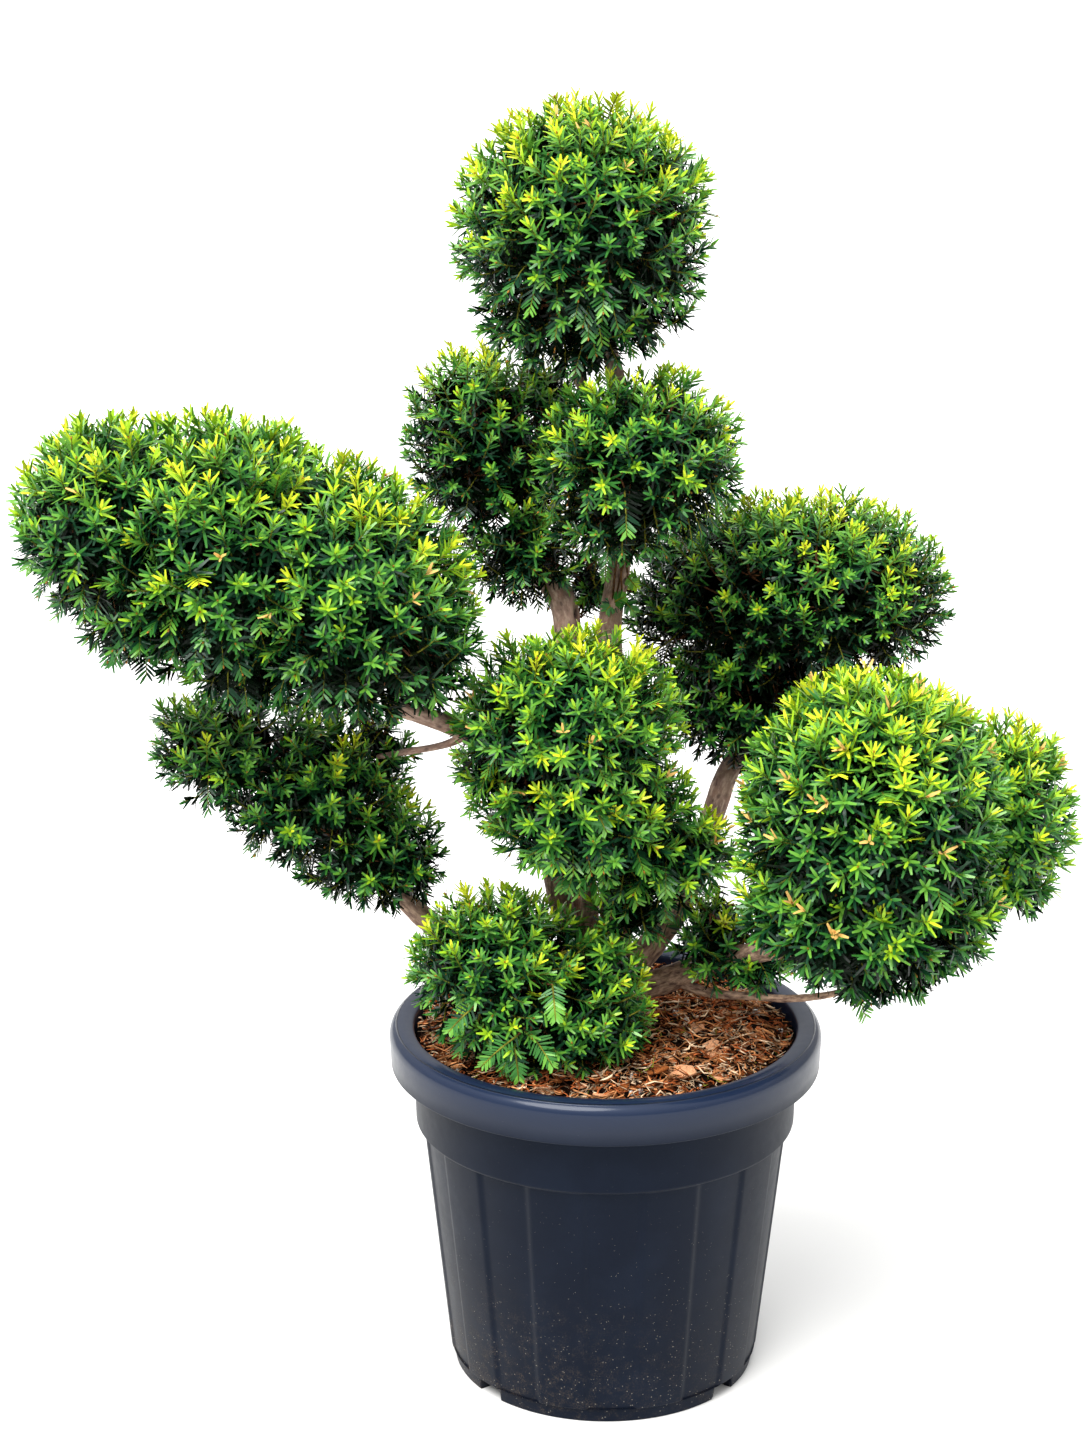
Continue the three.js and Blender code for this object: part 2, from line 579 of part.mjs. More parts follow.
// Each limb again, a little larger, to cut its neighbours clear of it and to test shoots against
const clearBodies = { trunk: { body: trunkBody(CUT_GAP), wide: trunkBody(LIMB_CLEARANCE) } };
LIMBS.forEach((limb) => {
  clearBodies[limb.name] = { body: limbBody(limb, CUT_GAP), wide: limbBody(limb, LIMB_CLEARANCE) };
});
LIMBS.forEach((limb) => {
  let body = limbBody(limb, 0);
  limb.from.forEach((parent) => {
    body = body.subtract(clearBodies[parent].body);
  });
  plant.add(finished(limb.name, largestBody(body), BARK_FINISH));
});
MASSES.forEach((mass, index) => {
  plant.add(finished(mass.name, makeMass(mass, index, Object.values(clearBodies)), FOLIAGE_FINISH));
});

export default plant;
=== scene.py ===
"""An Anglo-Japanese yew, cloud pruned as a large bonsai, in its round nursery pot.

Every length below is a real one in millimetres until MM turns it to the frame's metres.
The origin is the middle of the pot's underside, and the plant's front faces -Y.
"""
import itertools
import math

import bpy
import numpy as np
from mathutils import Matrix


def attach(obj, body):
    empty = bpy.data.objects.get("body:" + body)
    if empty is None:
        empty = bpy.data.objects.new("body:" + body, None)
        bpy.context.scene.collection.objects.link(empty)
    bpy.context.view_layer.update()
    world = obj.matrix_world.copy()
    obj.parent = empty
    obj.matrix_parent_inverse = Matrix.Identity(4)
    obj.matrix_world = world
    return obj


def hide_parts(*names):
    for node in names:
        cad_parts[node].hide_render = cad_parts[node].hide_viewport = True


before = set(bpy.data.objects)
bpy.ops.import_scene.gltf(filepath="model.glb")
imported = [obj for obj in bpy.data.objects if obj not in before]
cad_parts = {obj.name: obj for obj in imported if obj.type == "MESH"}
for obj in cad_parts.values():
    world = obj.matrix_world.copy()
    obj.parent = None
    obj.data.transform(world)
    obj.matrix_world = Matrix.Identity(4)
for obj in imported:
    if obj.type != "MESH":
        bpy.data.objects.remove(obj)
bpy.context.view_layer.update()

MM = 0.001
scene = bpy.context.scene

# Camera: a long lens at eye height, three metres off, that looks a little down on the plant and
# a little to the left of the pot, as the photograph does.
PHOTO_SIZE = (1086, 1448)
FOCAL_PIXELS = 3049
SENSOR = 36.0
CAMERA_PLACE = (0, -3148, 1697)
CAMERA_PITCH_DEG = 16.78
CAMERA_YAW_DEG = 1.26
CLIP_END = 200000

camera_lens = bpy.data.cameras.new("camera")
camera_lens.sensor_width = SENSOR
camera_lens.lens = SENSOR * FOCAL_PIXELS / max(PHOTO_SIZE)
camera_lens.clip_end = CLIP_END * MM
camera = bpy.data.objects.new("camera", camera_lens)
camera.location = [length * MM for length in CAMERA_PLACE]
camera.rotation_euler = (math.radians(90 - CAMERA_PITCH_DEG), 0, math.radians(CAMERA_YAW_DEG))
scene.collection.objects.link(camera)
scene.camera = camera


# Pot: a 50 litre nursery container, moulded in one piece from carbon-black polypropylene. It has a
# rolled rim over a wide band, a stepped shoulder, pressed wall panels, and a foot ring in four lengths.
POT_HEIGHT = 407
RIM_RADIUS = 240
RIM_LOWER_EDGE = 360
RIM_CREST_RADIUS = 226
RIM_ROLL = 14
SHOULDER_RADIUS = 213
SHOULDER_FOOT_RADIUS = 211
SHOULDER_FOOT_HEIGHT = 293
WALL_TOP_RADIUS = 203
WALL_TOP_HEIGHT = 290
WALL_FOOT_RADIUS = 174
WALL_THICKNESS = 4
FOOT_HEIGHT = 16
FOOT_RADIUS = 170
FOOT_WIDTH = 17
PAD_RADIUS = 70
FLOOR_LIFT = 15
PANELS = 10
PANEL_WIDTH_DEG = 20
PANEL_STEP_DEG = 2.4
PANEL_DEPTH = 2.5
PANEL_PHASE_DEG = 3
FOOT_GAP_TURNS_DEG = [-130, -50, 50, 130]
FOOT_GAP_DEG = 12
FOOT_STEP_DEG = 0.6
FOOT_PHASE_DEG = 2
POT_COLUMNS = 600
CORNER_STEPS = 8
PLASTIC = 0x0A0F1A
PLASTIC_WORN = 0x121926
# Painted sheen: the rim's lighter, bluer colour stands for the sky's reflection on it
RIM_PAINTED_SHEEN = 0x172238
DUST = 0x5E5243
SPECK = 0x9A9488
SPECK_COVER = 0.7
SPLASH_TOP = 170
SPECK_TOP = 330
POLISH_AND_PAINTED_SHEEN_FROM = 355
GLOSS_TINT = 0xB2C4E4
POLYPROPYLENE_IOR = 1.49


def linear(colour):
    """An sRGB hex colour as linear red, green, blue and alpha: above a small threshold the curve is
    ((c + 0.055) / 1.055) to the power 2.4."""
    parts = [(colour >> shift & 255) / 255 for shift in (16, 8, 0)]
    return [c / 12.92 if c <= 0.04045 else ((c + 0.055) / 1.055) ** 2.4 for c in parts] + [1.0]


def unit(vectors):
    """Vectors of length one: each is divided by the root of the sum of its squares."""
    return vectors / np.maximum(np.linalg.norm(vectors, axis=-1, keepdims=True), 1e-9)


def square_to(vectors, way):
    """Vectors of length one at right angles to a way: each is less its part along the way."""
    return unit(vectors - (vectors * way).sum(axis=-1, keepdims=True) * way)


def smooth_step(value, low, high):
    """Rises from 0 at low to 1 at high as three times the square less twice the cube of the share."""
    share = np.clip((value - low) / (high - low), 0, 1)
    return share * share * (3 - 2 * share)


def seeded(count, channel):
    """The plant's own rule for chance: the fraction of 43758.5453 times a sine of the two counters."""
    wave = np.sin(count * 12.9898 + channel * 78.233) * 43758.5453
    return wave - np.floor(wave)


def turns(count):
    """Even turns round a full ring, in radians."""
    return np.arange(count) * 2 * math.pi / count


def about_axis(radius, turn, height):
    """Points about an upright axis: radius times cosine, radius times sine, and height."""
    return np.stack(np.broadcast_arrays(radius * np.cos(turn), radius * np.sin(turn), height), axis=-1)


def lumps(points, size, channel=0):
    """Smooth heights from -1 to 1. Each corner of a lattice has a seeded height, and a point takes
    the smoothed mix of the eight corners round it."""
    place = np.asarray(points) / size
    cell = np.floor(place)
    share = smooth_step(place - cell, 0, 1)
    height = np.zeros(place.shape[:-1])
    for corner in itertools.product((0, 1), repeat=3):
        weight = np.where(corner, share, 1 - share).prod(axis=-1)
        height += weight * seeded((cell + corner) @ (1.0, 57.0, 131.0), channel)
    return 2 * height - 1


def closed_skins(grid):
    """Points and faces of closed skins. The grid is skins by rings by points round a ring, and each
    skin's first and last rings are drawn to a pole at their middle."""
    skins, rings, around, _ = grid.shape
    poles = grid[:, [0, -1]].mean(axis=2)
    points = np.concatenate([grid.reshape(skins, -1, 3), poles], axis=1)
    ring, side = np.meshgrid(np.arange(rings - 1) * around, np.arange(around), indexing="ij")
    after = (side + 1) % around
    quads = np.stack([ring + side, ring + after, ring + around + after, ring + around + side], axis=-1)
    edge = np.arange(around)
    next_edge = (edge + 1) % around
    last = (rings - 1) * around
    foot = np.stack([np.full(around, rings * around), next_edge, edge], axis=-1)
    head = np.stack([last + edge, last + next_edge, np.full(around, rings * around + 1)], axis=-1)
    shift = np.arange(skins)[:, None, None] * points.shape[1]
    quads = (quads.reshape(1, -1, 4) + shift).reshape(-1, 4)
    fans = (np.concatenate([foot, head])[None] + shift).reshape(-1, 3)
    return points.reshape(-1, 3), [quads, fans]


def make_piece(name, skin, material, replaced=()):
    """A mesh piece of the plant: its points and its faces, as arrays of three or four corners, its
    finish, and the solids that it stands for."""
    points, faces = skin
    mesh = bpy.data.meshes.new(name)
    corners = np.concatenate([part.ravel() for part in faces])
    sizes = np.concatenate([np.full(len(part), part.shape[1]) for part in faces])
    mesh.vertices.add(len(points))
    mesh.vertices.foreach_set("co", np.ascontiguousarray(points * MM, np.float32).ravel())
    mesh.loops.add(len(corners))
    mesh.loops.foreach_set("vertex_index", corners.astype(np.int32))
    mesh.polygons.add(len(sizes))
    mesh.polygons.foreach_set("loop_start", (np.cumsum(sizes) - sizes).astype(np.int32))
    mesh.polygons.foreach_set("use_smooth", np.ones(len(sizes), bool))
    mesh.update(calc_edges=True)
    mesh.materials.append(material)
    piece = bpy.data.objects.new(name, mesh)
    scene.collection.objects.link(piece)
    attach(piece, "root")
    if replaced:
        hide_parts(*replaced)
    return piece


def add(tree, kind, inputs=(), **settings):
    """One shader node: its settings, and its inputs by name or place, each a value or an output."""
    node = tree.nodes.new("ShaderNode" + kind)
    for name, value in settings.items():
        setattr(node, name, value)
    for name, value in dict(inputs).items():
        if isinstance(value, bpy.types.NodeSocket):
            tree.links.new(value, node.inputs[name])
        else:
            node.inputs[name].default_value = value
    return node


def new_material(name):
    """A material with an empty tree of nodes, and that tree."""
    material = bpy.data.materials.new(name)
    material.use_nodes = True
    material.node_tree.nodes.clear()
    return material, material.node_tree


def lay_finish(tree, inputs):
    """The shader with the finish's colours, numbers and links, joined to the material's output."""
    shader = add(tree, "BsdfPrincipled", inputs)
    add(tree, "OutputMaterial", {"Surface": shader.outputs["BSDF"]})


def rounded_outline(corners):
    """An outline through corners (radius, height, rounding), each corner replaced by an arc that
    starts and ends at the rounding's distance from it: the quadratic curve over the corner."""
    places = np.array([corner[:2] for corner in corners], float)
    rows = [places[:1]]
    share = np.linspace(0, 1, CORNER_STEPS)[:, None]
    for before, corner, after, rounding in zip(places, places[1:], places[2:], [c[2] for c in corners[1:]]):
        start = corner + unit(before - corner) * rounding
        end = corner + unit(after - corner) * rounding
        rows.append((1 - share) ** 2 * start + 2 * share * (1 - share) * corner + share**2 * end)
    rows.append(places[-1:])
    return np.concatenate(rows)


# The outline runs from the underside's pad out over the foot, up the wall, over the rim and down inside
inner_radius = RIM_CREST_RADIUS - RIM_ROLL
outline = rounded_outline([
    (PAD_RADIUS - 20, 0, 0),
    (PAD_RADIUS, 0, 1),
    (PAD_RADIUS + 2, FLOOR_LIFT, 1),
    (FOOT_RADIUS - FOOT_WIDTH, FLOOR_LIFT, 1),
    (FOOT_RADIUS - FOOT_WIDTH + 1, 0, 1),
    (FOOT_RADIUS - 1, 0, 2),
    (FOOT_RADIUS, FOOT_HEIGHT, 0.7),
    (WALL_FOOT_RADIUS, FOOT_HEIGHT + 1, 1),
    (WALL_TOP_RADIUS, WALL_TOP_HEIGHT, 3),
    (SHOULDER_FOOT_RADIUS, SHOULDER_FOOT_HEIGHT, 3),
    (SHOULDER_RADIUS, RIM_LOWER_EDGE - 2, 2),
    (RIM_RADIUS - 2, RIM_LOWER_EDGE, 1.5),
    (RIM_RADIUS, POT_HEIGHT - 6, 10),
    (RIM_CREST_RADIUS, POT_HEIGHT + 0.6, 7),
    (inner_radius, POT_HEIGHT - 3, 5),
    (inner_radius, POT_HEIGHT - 2 * RIM_ROLL, 5),
    (SHOULDER_RADIUS - WALL_THICKNESS, RIM_LOWER_EDGE, 5),
    (WALL_TOP_RADIUS - PANEL_DEPTH - WALL_THICKNESS, WALL_TOP_HEIGHT, 5),
    (WALL_FOOT_RADIUS - PANEL_DEPTH - WALL_THICKNESS, FLOOR_LIFT + 2 * WALL_THICKNESS, 5),
    (PAD_RADIUS, FLOOR_LIFT + 2 * WALL_THICKNESS, 0),
])
pot_turn = turns(POT_COLUMNS)


def degrees_from(turn, marks):
    """Degrees from each turn to the nearest of some marks, which are counted from the pot's front."""
    away = (np.degrees(turn)[:, None] + 90 - np.array(marks) + 180) % 360 - 180
    return np.abs(away).min(axis=1)


panel_half = PANEL_WIDTH_DEG / 2
gap_half = FOOT_GAP_DEG / 2
from_panel = degrees_from(pot_turn, PANEL_PHASE_DEG + np.arange(PANELS) * 360 / PANELS)
from_gap = degrees_from(pot_turn, FOOT_PHASE_DEG + np.array(FOOT_GAP_TURNS_DEG))
pressed = 1 - smooth_step(from_panel, panel_half - PANEL_STEP_DEG, panel_half)
gap = 1 - smooth_step(from_gap, gap_half - FOOT_STEP_DEG, gap_half)
outer_row = np.arange(len(outline)) < int(np.argmax(outline[:, 1]))
on_wall = outer_row & (outline[:, 1] > FOOT_HEIGHT + 0.9) & (outline[:, 1] < WALL_TOP_HEIGHT + 1)
on_foot = outer_row & (outline[:, 1] < FLOOR_LIFT) & (outline[:, 0] > PAD_RADIUS + 20)
pot_radius = outline[:, :1] - PANEL_DEPTH * on_wall[:, None] * pressed
pot_height = np.maximum(outline[:, 1:], on_foot[:, None] * gap * FLOOR_LIFT)
pot_grid = about_axis(pot_radius, pot_turn, pot_height)

# Moulded polypropylene: a satin black with a blue cast, polished by hands along the rim, and splashed
# with dried compost that thickens towards the base. The rim's lighter, bluer colour is painted sheen
pot_plastic, tree = new_material("moulded_polypropylene")
place = add(tree, "TexCoord").outputs["Object"]
across, _, height = add(tree, "SeparateXYZ", {"Vector": place}).outputs
clouds = add(tree, "TexNoise", {"Vector": place, "Scale": 1 / (60 * MM), "Detail": 4.0})
blotches = add(tree, "TexNoise", {"Vector": place, "Scale": 1 / (14 * MM), "Detail": 8.0, "Roughness": 0.7})
grit = add(tree, "TexNoise", {"Vector": place, "Scale": 1 / (1.6 * MM), "Detail": 2.0})
specks = add(tree, "TexVoronoi", {"Vector": place, "Scale": 1 / (4.5 * MM)})
low = add(tree, "MapRange", {"Value": height, "From Min": SPLASH_TOP * MM, "From Max": 0.0})
soiled_side = add(tree, "MapRange", {
    "Value": across, "From Min": 60 * MM, "From Max": -160 * MM, "To Min": 0.45, "To Max": 1.3})
worn = add(tree, "MapRange", {
    "Value": clouds.outputs["Fac"], "From Min": 0.45, "From Max": 0.75, "To Max": 0.5})
# Painted sheen: from this height up the rim's colour turns lighter and bluer; the same height starts the
# coat's polish below
rim_painted_sheen = add(tree, "MapRange", {"Value": height, "From Min": POLISH_AND_PAINTED_SHEEN_FROM * MM, "From Max": 400 * MM})
dusty = add(tree, "MapRange", {
    "Value": blotches.outputs["Fac"], "From Min": 0.45, "From Max": 0.75, "To Max": 0.75})
splash = add(tree, "MapRange", {
    "Value": grit.outputs["Fac"], "From Min": 0.46, "From Max": 0.62, "To Min": 0.06, "To Max": 1.0})
film = dusty
for share in (splash, soiled_side, low):
    film = add(tree, "Math", {0: film.outputs[0], 1: share.outputs[0]}, operation="MULTIPLY")
speck_reach = add(tree, "MapRange", {
    "Value": height, "From Min": 0.0, "From Max": SPECK_TOP * MM, "To Min": 0.13, "To Max": 0.025})
speck = add(tree, "Math", {0: specks.outputs["Distance"], 1: speck_reach.outputs[0]}, operation="LESS_THAN")
speck_some = add(tree, "Math", {0: blotches.outputs["Fac"], 1: 0.47}, operation="GREATER_THAN")
for share in (speck_some.outputs[0], SPECK_COVER):
    speck = add(tree, "Math", {0: speck.outputs[0], 1: share}, operation="MULTIPLY")
tint = linear(PLASTIC)
for share, laid in ((worn, PLASTIC_WORN), (rim_painted_sheen, RIM_PAINTED_SHEEN), (film, DUST), (speck, SPECK)):
    tint = add(tree, "Mix", {0: share.outputs[0], 6: tint, 7: linear(laid)}, data_type="RGBA").outputs[2]
matte = add(tree, "MapRange", {"Value": blotches.outputs["Fac"], "To Min": 0.35, "To Max": 0.55})
polish = add(tree, "MapRange", {
    "Value": height, "From Min": POLISH_AND_PAINTED_SHEEN_FROM * MM, "From Max": 375 * MM, "To Max": 0.45})
grain = add(tree, "Bump", {"Height": grit.outputs["Fac"], "Strength": 0.12, "Distance": 0.3 * MM})
lay_finish(tree, {
    "Base Color": tint, "Roughness": matte.outputs[0], "Normal": grain.outputs[0],
    "IOR": POLYPROPYLENE_IOR, "Specular IOR Level": 0.16, "Specular Tint": linear(GLOSS_TINT),
    "Coat Weight": polish.outputs[0], "Coat Roughness": 0.15, "Coat IOR": POLYPROPYLENE_IOR})

make_piece("pot_shell", closed_skins(pot_grid[None]), pot_plastic, ["pot"])


# Soil: moist bark compost that fills the pot to just under the rim, with a torn, fibrous mulch of
# bark strips and chips on top, a few white grains of perlite and threads of moss.
SOIL_TOP = 392
SOIL_EDGE = 387
SOIL_RADIUS = 210.5
SOIL_SIDE = [(40, 23.5), (166, 23.5), (195, 286), (208, 360), (210, 380)]
SOIL_RINGS = 90
SOIL_COLUMNS = 300
TRUNK_FOOT = (-4, 46)
SOIL_LUMPS = [(34, 2.2), (11, 1.6), (4.5, 0.9)]
COMPOST_DARK = 0x050301
COMPOST = 0x1E0F08
FIBRE_TINTS = {"dark": 0x3A1B0B, "red": 0xC86C3A, "tawny": 0xE8A068, "pale": 0xFFDCB4}
FIBRE_COUNTS = {"dark": 700, "red": 1200, "tawny": 1200, "pale": 900}
FIBRE_LENGTH = 27
FIBRE_WIDTH = 1.25
FIBRE_LIFT = 15
FIBRE_CURL = 3.4
FIBRE_TILT = 1.1
CHIP_TINTS = {"dark": 0x9E5A2C, "pale": 0xE0A277}
CHIP_COUNTS = {"dark": 200, "pale": 130}
CHIP_LEAST = 4
CHIP_SPREAD = 9
CHIP_WIDTH_SHARE = 0.68
# The largest chips, as place, size and thickness
LARGE_CHIPS = {
    "dark": [[54, -134, 17, 4], [141, 66, 13, 4]],
    "pale": [[83, -133, 19, 4], [115, -50, 11, 4], [103, -100, 8, 4]],
}
MOSS = 0x9CA53A
MOSS_COUNT = 90
MOSS_LENGTH = 26
PERLITE = 0xF2EFE8
GRAIN_COUNT = 46
# The whitest grains, as place and size
LARGE_GRAINS = [[90, 26, 4], [170, 52, 4], [195, 3, 4], [80, 47, 4], [177, 73, 4]]


def soil_height(x, y):
    """Height of the soil: level at the trunk, lumpy by three sizes of lump, and slumped at the wall."""
    spot = np.stack([x, y, np.zeros_like(x)], axis=-1)
    rough = smooth_step(np.hypot(x - TRUNK_FOOT[0], y - TRUNK_FOOT[1]), 55, 110)
    relief = sum(rise * lumps(spot, size, 1 + i) for i, (size, rise) in enumerate(SOIL_LUMPS))
    slump = (SOIL_TOP - SOIL_EDGE) * smooth_step(np.hypot(x, y), 140, SOIL_RADIUS)
    return SOIL_TOP - 2 - slump + rough * relief


side_radii, side_heights = np.array(SOIL_SIDE).T
soil_radii = np.concatenate([side_radii, np.linspace(SOIL_RADIUS, 2, SOIL_RINGS)])
soil_grid = about_axis(soil_radii[:, None], turns(SOIL_COLUMNS), 0.0)
soil_grid[..., 2] = soil_height(soil_grid[..., 0], soil_grid[..., 1])
soil_grid[:len(SOIL_SIDE), :, 2] = side_heights[:, None]

# Moist compost: nearly black between crumbs of red-brown bark
compost, tree = new_material("bark_compost")
place = add(tree, "TexCoord").outputs["Object"]
crumbs = add(tree, "TexNoise", {"Vector": place, "Scale": 1 / (5 * MM), "Detail": 8.0, "Roughness": 0.7})
shade = add(tree, "MapRange", {"Value": crumbs.outputs["Fac"], "From Min": 0.35, "From Max": 0.7})
tint = add(tree, "Mix", {0: shade.outputs[0], 6: linear(COMPOST_DARK), 7: linear(COMPOST)}, data_type="RGBA")
crumble = add(tree, "Bump", {"Height": crumbs.outputs["Fac"], "Strength": 0.9, "Distance": 3 * MM})
lay_finish(tree, {
    "Base Color": tint.outputs[2], "Normal": crumble.outputs[0], "Roughness": 0.95,
    "Specular IOR Level": 0.05})
make_piece("soil_surface", closed_skins(soil_grid[None]), compost, ["soil"])


def carried_frames(middles):
    """Sides and backs along routes. Each side is the one before it less its part along the new
    heading, so it turns with the route and never twists."""
    heading = unit(np.gradient(middles, axis=1))
    first = heading[:, 0]
    side = unit(np.cross(np.roll(first, -1, axis=-1), first))
    sides = []
    for ahead in heading.transpose(1, 0, 2):
        side = square_to(side, ahead)
        sides.append(side)
    side = np.stack(sides, axis=1)
    return side, np.cross(heading, side)


def tube_skins(middles, radii, around, flatness=1.0):
    """Closed tubes of rings round routes: middle + radius * (cosine * side + flatness * sine * back).
    The radii are by rows, by routes and rows, or by routes, rows and turns."""
    side, back = carried_frames(middles)
    turn = turns(around)
    reach = radii if radii.ndim == 3 else radii[..., None]
    cosine = (reach * np.cos(turn))[..., None]
    sine = (reach * np.sin(turn) * flatness)[..., None]
    return closed_skins(middles[:, :, None] + cosine * side[:, :, None] + sine * back[:, :, None])


def scattered(count, seed, reach):
    """Places spread over a round bed: the radius goes with the root of a seeded number."""
    k = np.arange(count) + seed * 10007
    radius = reach * np.sqrt(seeded(k, 1))
    turn = 2 * math.pi * seeded(k, 2)
    return k, radius * np.cos(turn), radius * np.sin(turn)


def mulch_fibres(count, seed, length, width, curl, lift):
    """Torn strips: four rows each along a heading that bends by the curl, flat in section, laid on
    the soil with a little lift and tilt."""
    k, x, y = scattered(count, seed, SOIL_RADIUS - 6)
    heading = 2 * math.pi * seeded(k, 3)
    long = length * (0.35 + 1.3 * seeded(k, 4) ** 2)
    bend = curl * (seeded(k, 5) - 0.5)
    tilt = FIBRE_TILT * (seeded(k, 6) - 0.42)
    share = np.linspace(-0.5, 0.5, 4)
    turned = heading[:, None] + bend[:, None] * share * 2
    along = long[:, None] * share
    px = x[:, None] + along * np.cos(turned)
    py = y[:, None] + along * np.sin(turned)
    inside = np.minimum(1, (SOIL_RADIUS - 2) / np.hypot(px, py))
    px, py = px * inside, py * inside
    pz = soil_height(px, py) + lift * seeded(k, 7)[:, None] + np.maximum(along * tilt[:, None], -1.5)
    wide = width * (0.5 + seeded(k, 8))[:, None] * np.array([0.35, 1, 0.8, 0.25])
    return tube_skins(np.stack([px, py, pz], axis=-1), wide, 3, 0.6)


def mottled_finish(name, colour, roughness, grain=2.5, gloss=0.08, shade=0.4):
    """A dull natural surface: noise of a few millimetres' grain mixes its colour with a shade of it,
    and roughens it."""
    material, tree = new_material(name)
    place = add(tree, "TexCoord").outputs["Object"]
    mottle = add(tree, "TexNoise", {"Vector": place, "Scale": 1 / (grain * MM), "Detail": 4.0}).outputs["Fac"]
    share = add(tree, "MapRange", {"Value": mottle, "From Min": 0.4, "From Max": 0.6}).outputs[0]
    dark = [shade * part for part in linear(colour)[:3]] + [1.0]
    tint = add(tree, "Mix", {0: share, 6: dark, 7: linear(colour)}, data_type="RGBA")
    rough = add(tree, "Bump", {"Height": mottle, "Strength": 0.5, "Distance": 0.5 * MM})
    lay_finish(tree, {
        "Base Color": tint.outputs[2], "Normal": rough.outputs[0], "Roughness": roughness,
        "Specular IOR Level": gloss})
    return material


for seed, (tone, count) in enumerate(FIBRE_COUNTS.items()):
    fibres = mulch_fibres(count, 3 + seed, FIBRE_LENGTH, FIBRE_WIDTH, FIBRE_CURL, FIBRE_LIFT)
    fibre_finish = mottled_finish("torn_bark_fibre_" + tone, FIBRE_TINTS[tone], 0.85, 12, shade=0.2)
    make_piece("mulch_fibres_" + tone, fibres, fibre_finish)

moss_threads = mulch_fibres(MOSS_COUNT, 11, MOSS_LENGTH, 0.8, 6.0, 12)
make_piece("moss_threads", moss_threads, mottled_finish("moss", MOSS, 0.7, 6))


def mulch_chips(x, y, size, thickness, tilt, seed):
    """Broken flakes of bark: six uneven corners round a middle, drawn in a little at both faces."""
    k = np.arange(len(x)) + seed * 5003
    corner = np.arange(6) * math.pi / 3
    uneven = 0.72 + 0.5 * seeded(k[:, None] * 7 + np.arange(6), 1)
    long = np.cos(corner) * uneven
    wide = np.sin(corner) * uneven * CHIP_WIDTH_SHARE
    heading = 2 * math.pi * seeded(k, 2)[:, None]
    turned_x = long * np.cos(heading) - wide * np.sin(heading)
    turned_y = long * np.sin(heading) + wide * np.cos(heading)
    lean_x = tilt * (seeded(k, 3) - 0.5)[:, None]
    lean_y = tilt * (seeded(k, 4) - 0.5)[:, None]
    rows = []
    for rise, share in ((-0.5, 0.9), (-0.4, 1.0), (0.35, 1.0), (0.5, 0.9)):
        across_x = turned_x * size[:, None] * share
        across_y = turned_y * size[:, None] * share
        z = rise * thickness[:, None] + lean_x * across_x + lean_y * across_y
        rows.append(np.stack([x[:, None] + across_x, y[:, None] + across_y, z], axis=-1))
    grid = np.stack(rows, axis=1)
    ground = soil_height(x, y) + 0.5 * thickness + np.abs(tilt) * 0.2 * size + 0.6 * np.maximum(size - 10, 0)
    grid[..., 2] += ground[:, None, None]
    return closed_skins(grid)


for seed, (tone, count) in enumerate(CHIP_COUNTS.items()):
    k, chip_x, chip_y = scattered(count, 21 + seed, SOIL_RADIUS - 14)
    chip_size = CHIP_LEAST + CHIP_SPREAD * seeded(k, 5) ** 3
    chip_thickness = 1.4 + 2.4 * seeded(k, 6)
    chips = np.concatenate([np.transpose([chip_x, chip_y, chip_size, chip_thickness]), LARGE_CHIPS[tone]])
    chip_finish = mottled_finish("bark_chip_" + tone, CHIP_TINTS[tone], 0.8, 1.6, shade=0.6)
    make_piece("mulch_chips_" + tone, mulch_chips(*chips.T, 0.8, 31 + seed), chip_finish)

k, grain_x, grain_y = scattered(GRAIN_COUNT, 41, SOIL_RADIUS - 12)
grains = np.concatenate([np.transpose([grain_x, grain_y, 1.4 + 1.6 * seeded(k, 5)]), LARGE_GRAINS]).T
grain_skins = mulch_chips(*grains, 1.8 * grains[2], 0.5, 43)
make_piece("perlite_grains", grain_skins, mottled_finish("perlite", PERLITE, 0.8, 5))


# Trunk and limbs: the bare wood that clipping has laid open. Yew bark is thin and scaly, grey-brown
# where it has weathered and red-brown in the cracks, with a scar wherever a shoot was cut away.
TRUNK_ROUTE = [[-4, 46, SOIL_TOP - 18], [3, 42, 425], [6, 37, 458], [4, 31, 492]]
TRUNK_FOOT_RADIUS = 41
TRUNK_TOP_RADIUS = 31
FLARE = 0.5
FLARE_HEIGHT = 22
FLARE_ROOTS = 4
STUB_ROUTE = [[14, 26, 452], [30, 10, 468], [38, 2, 476]]
STUB_RADIUS = 10

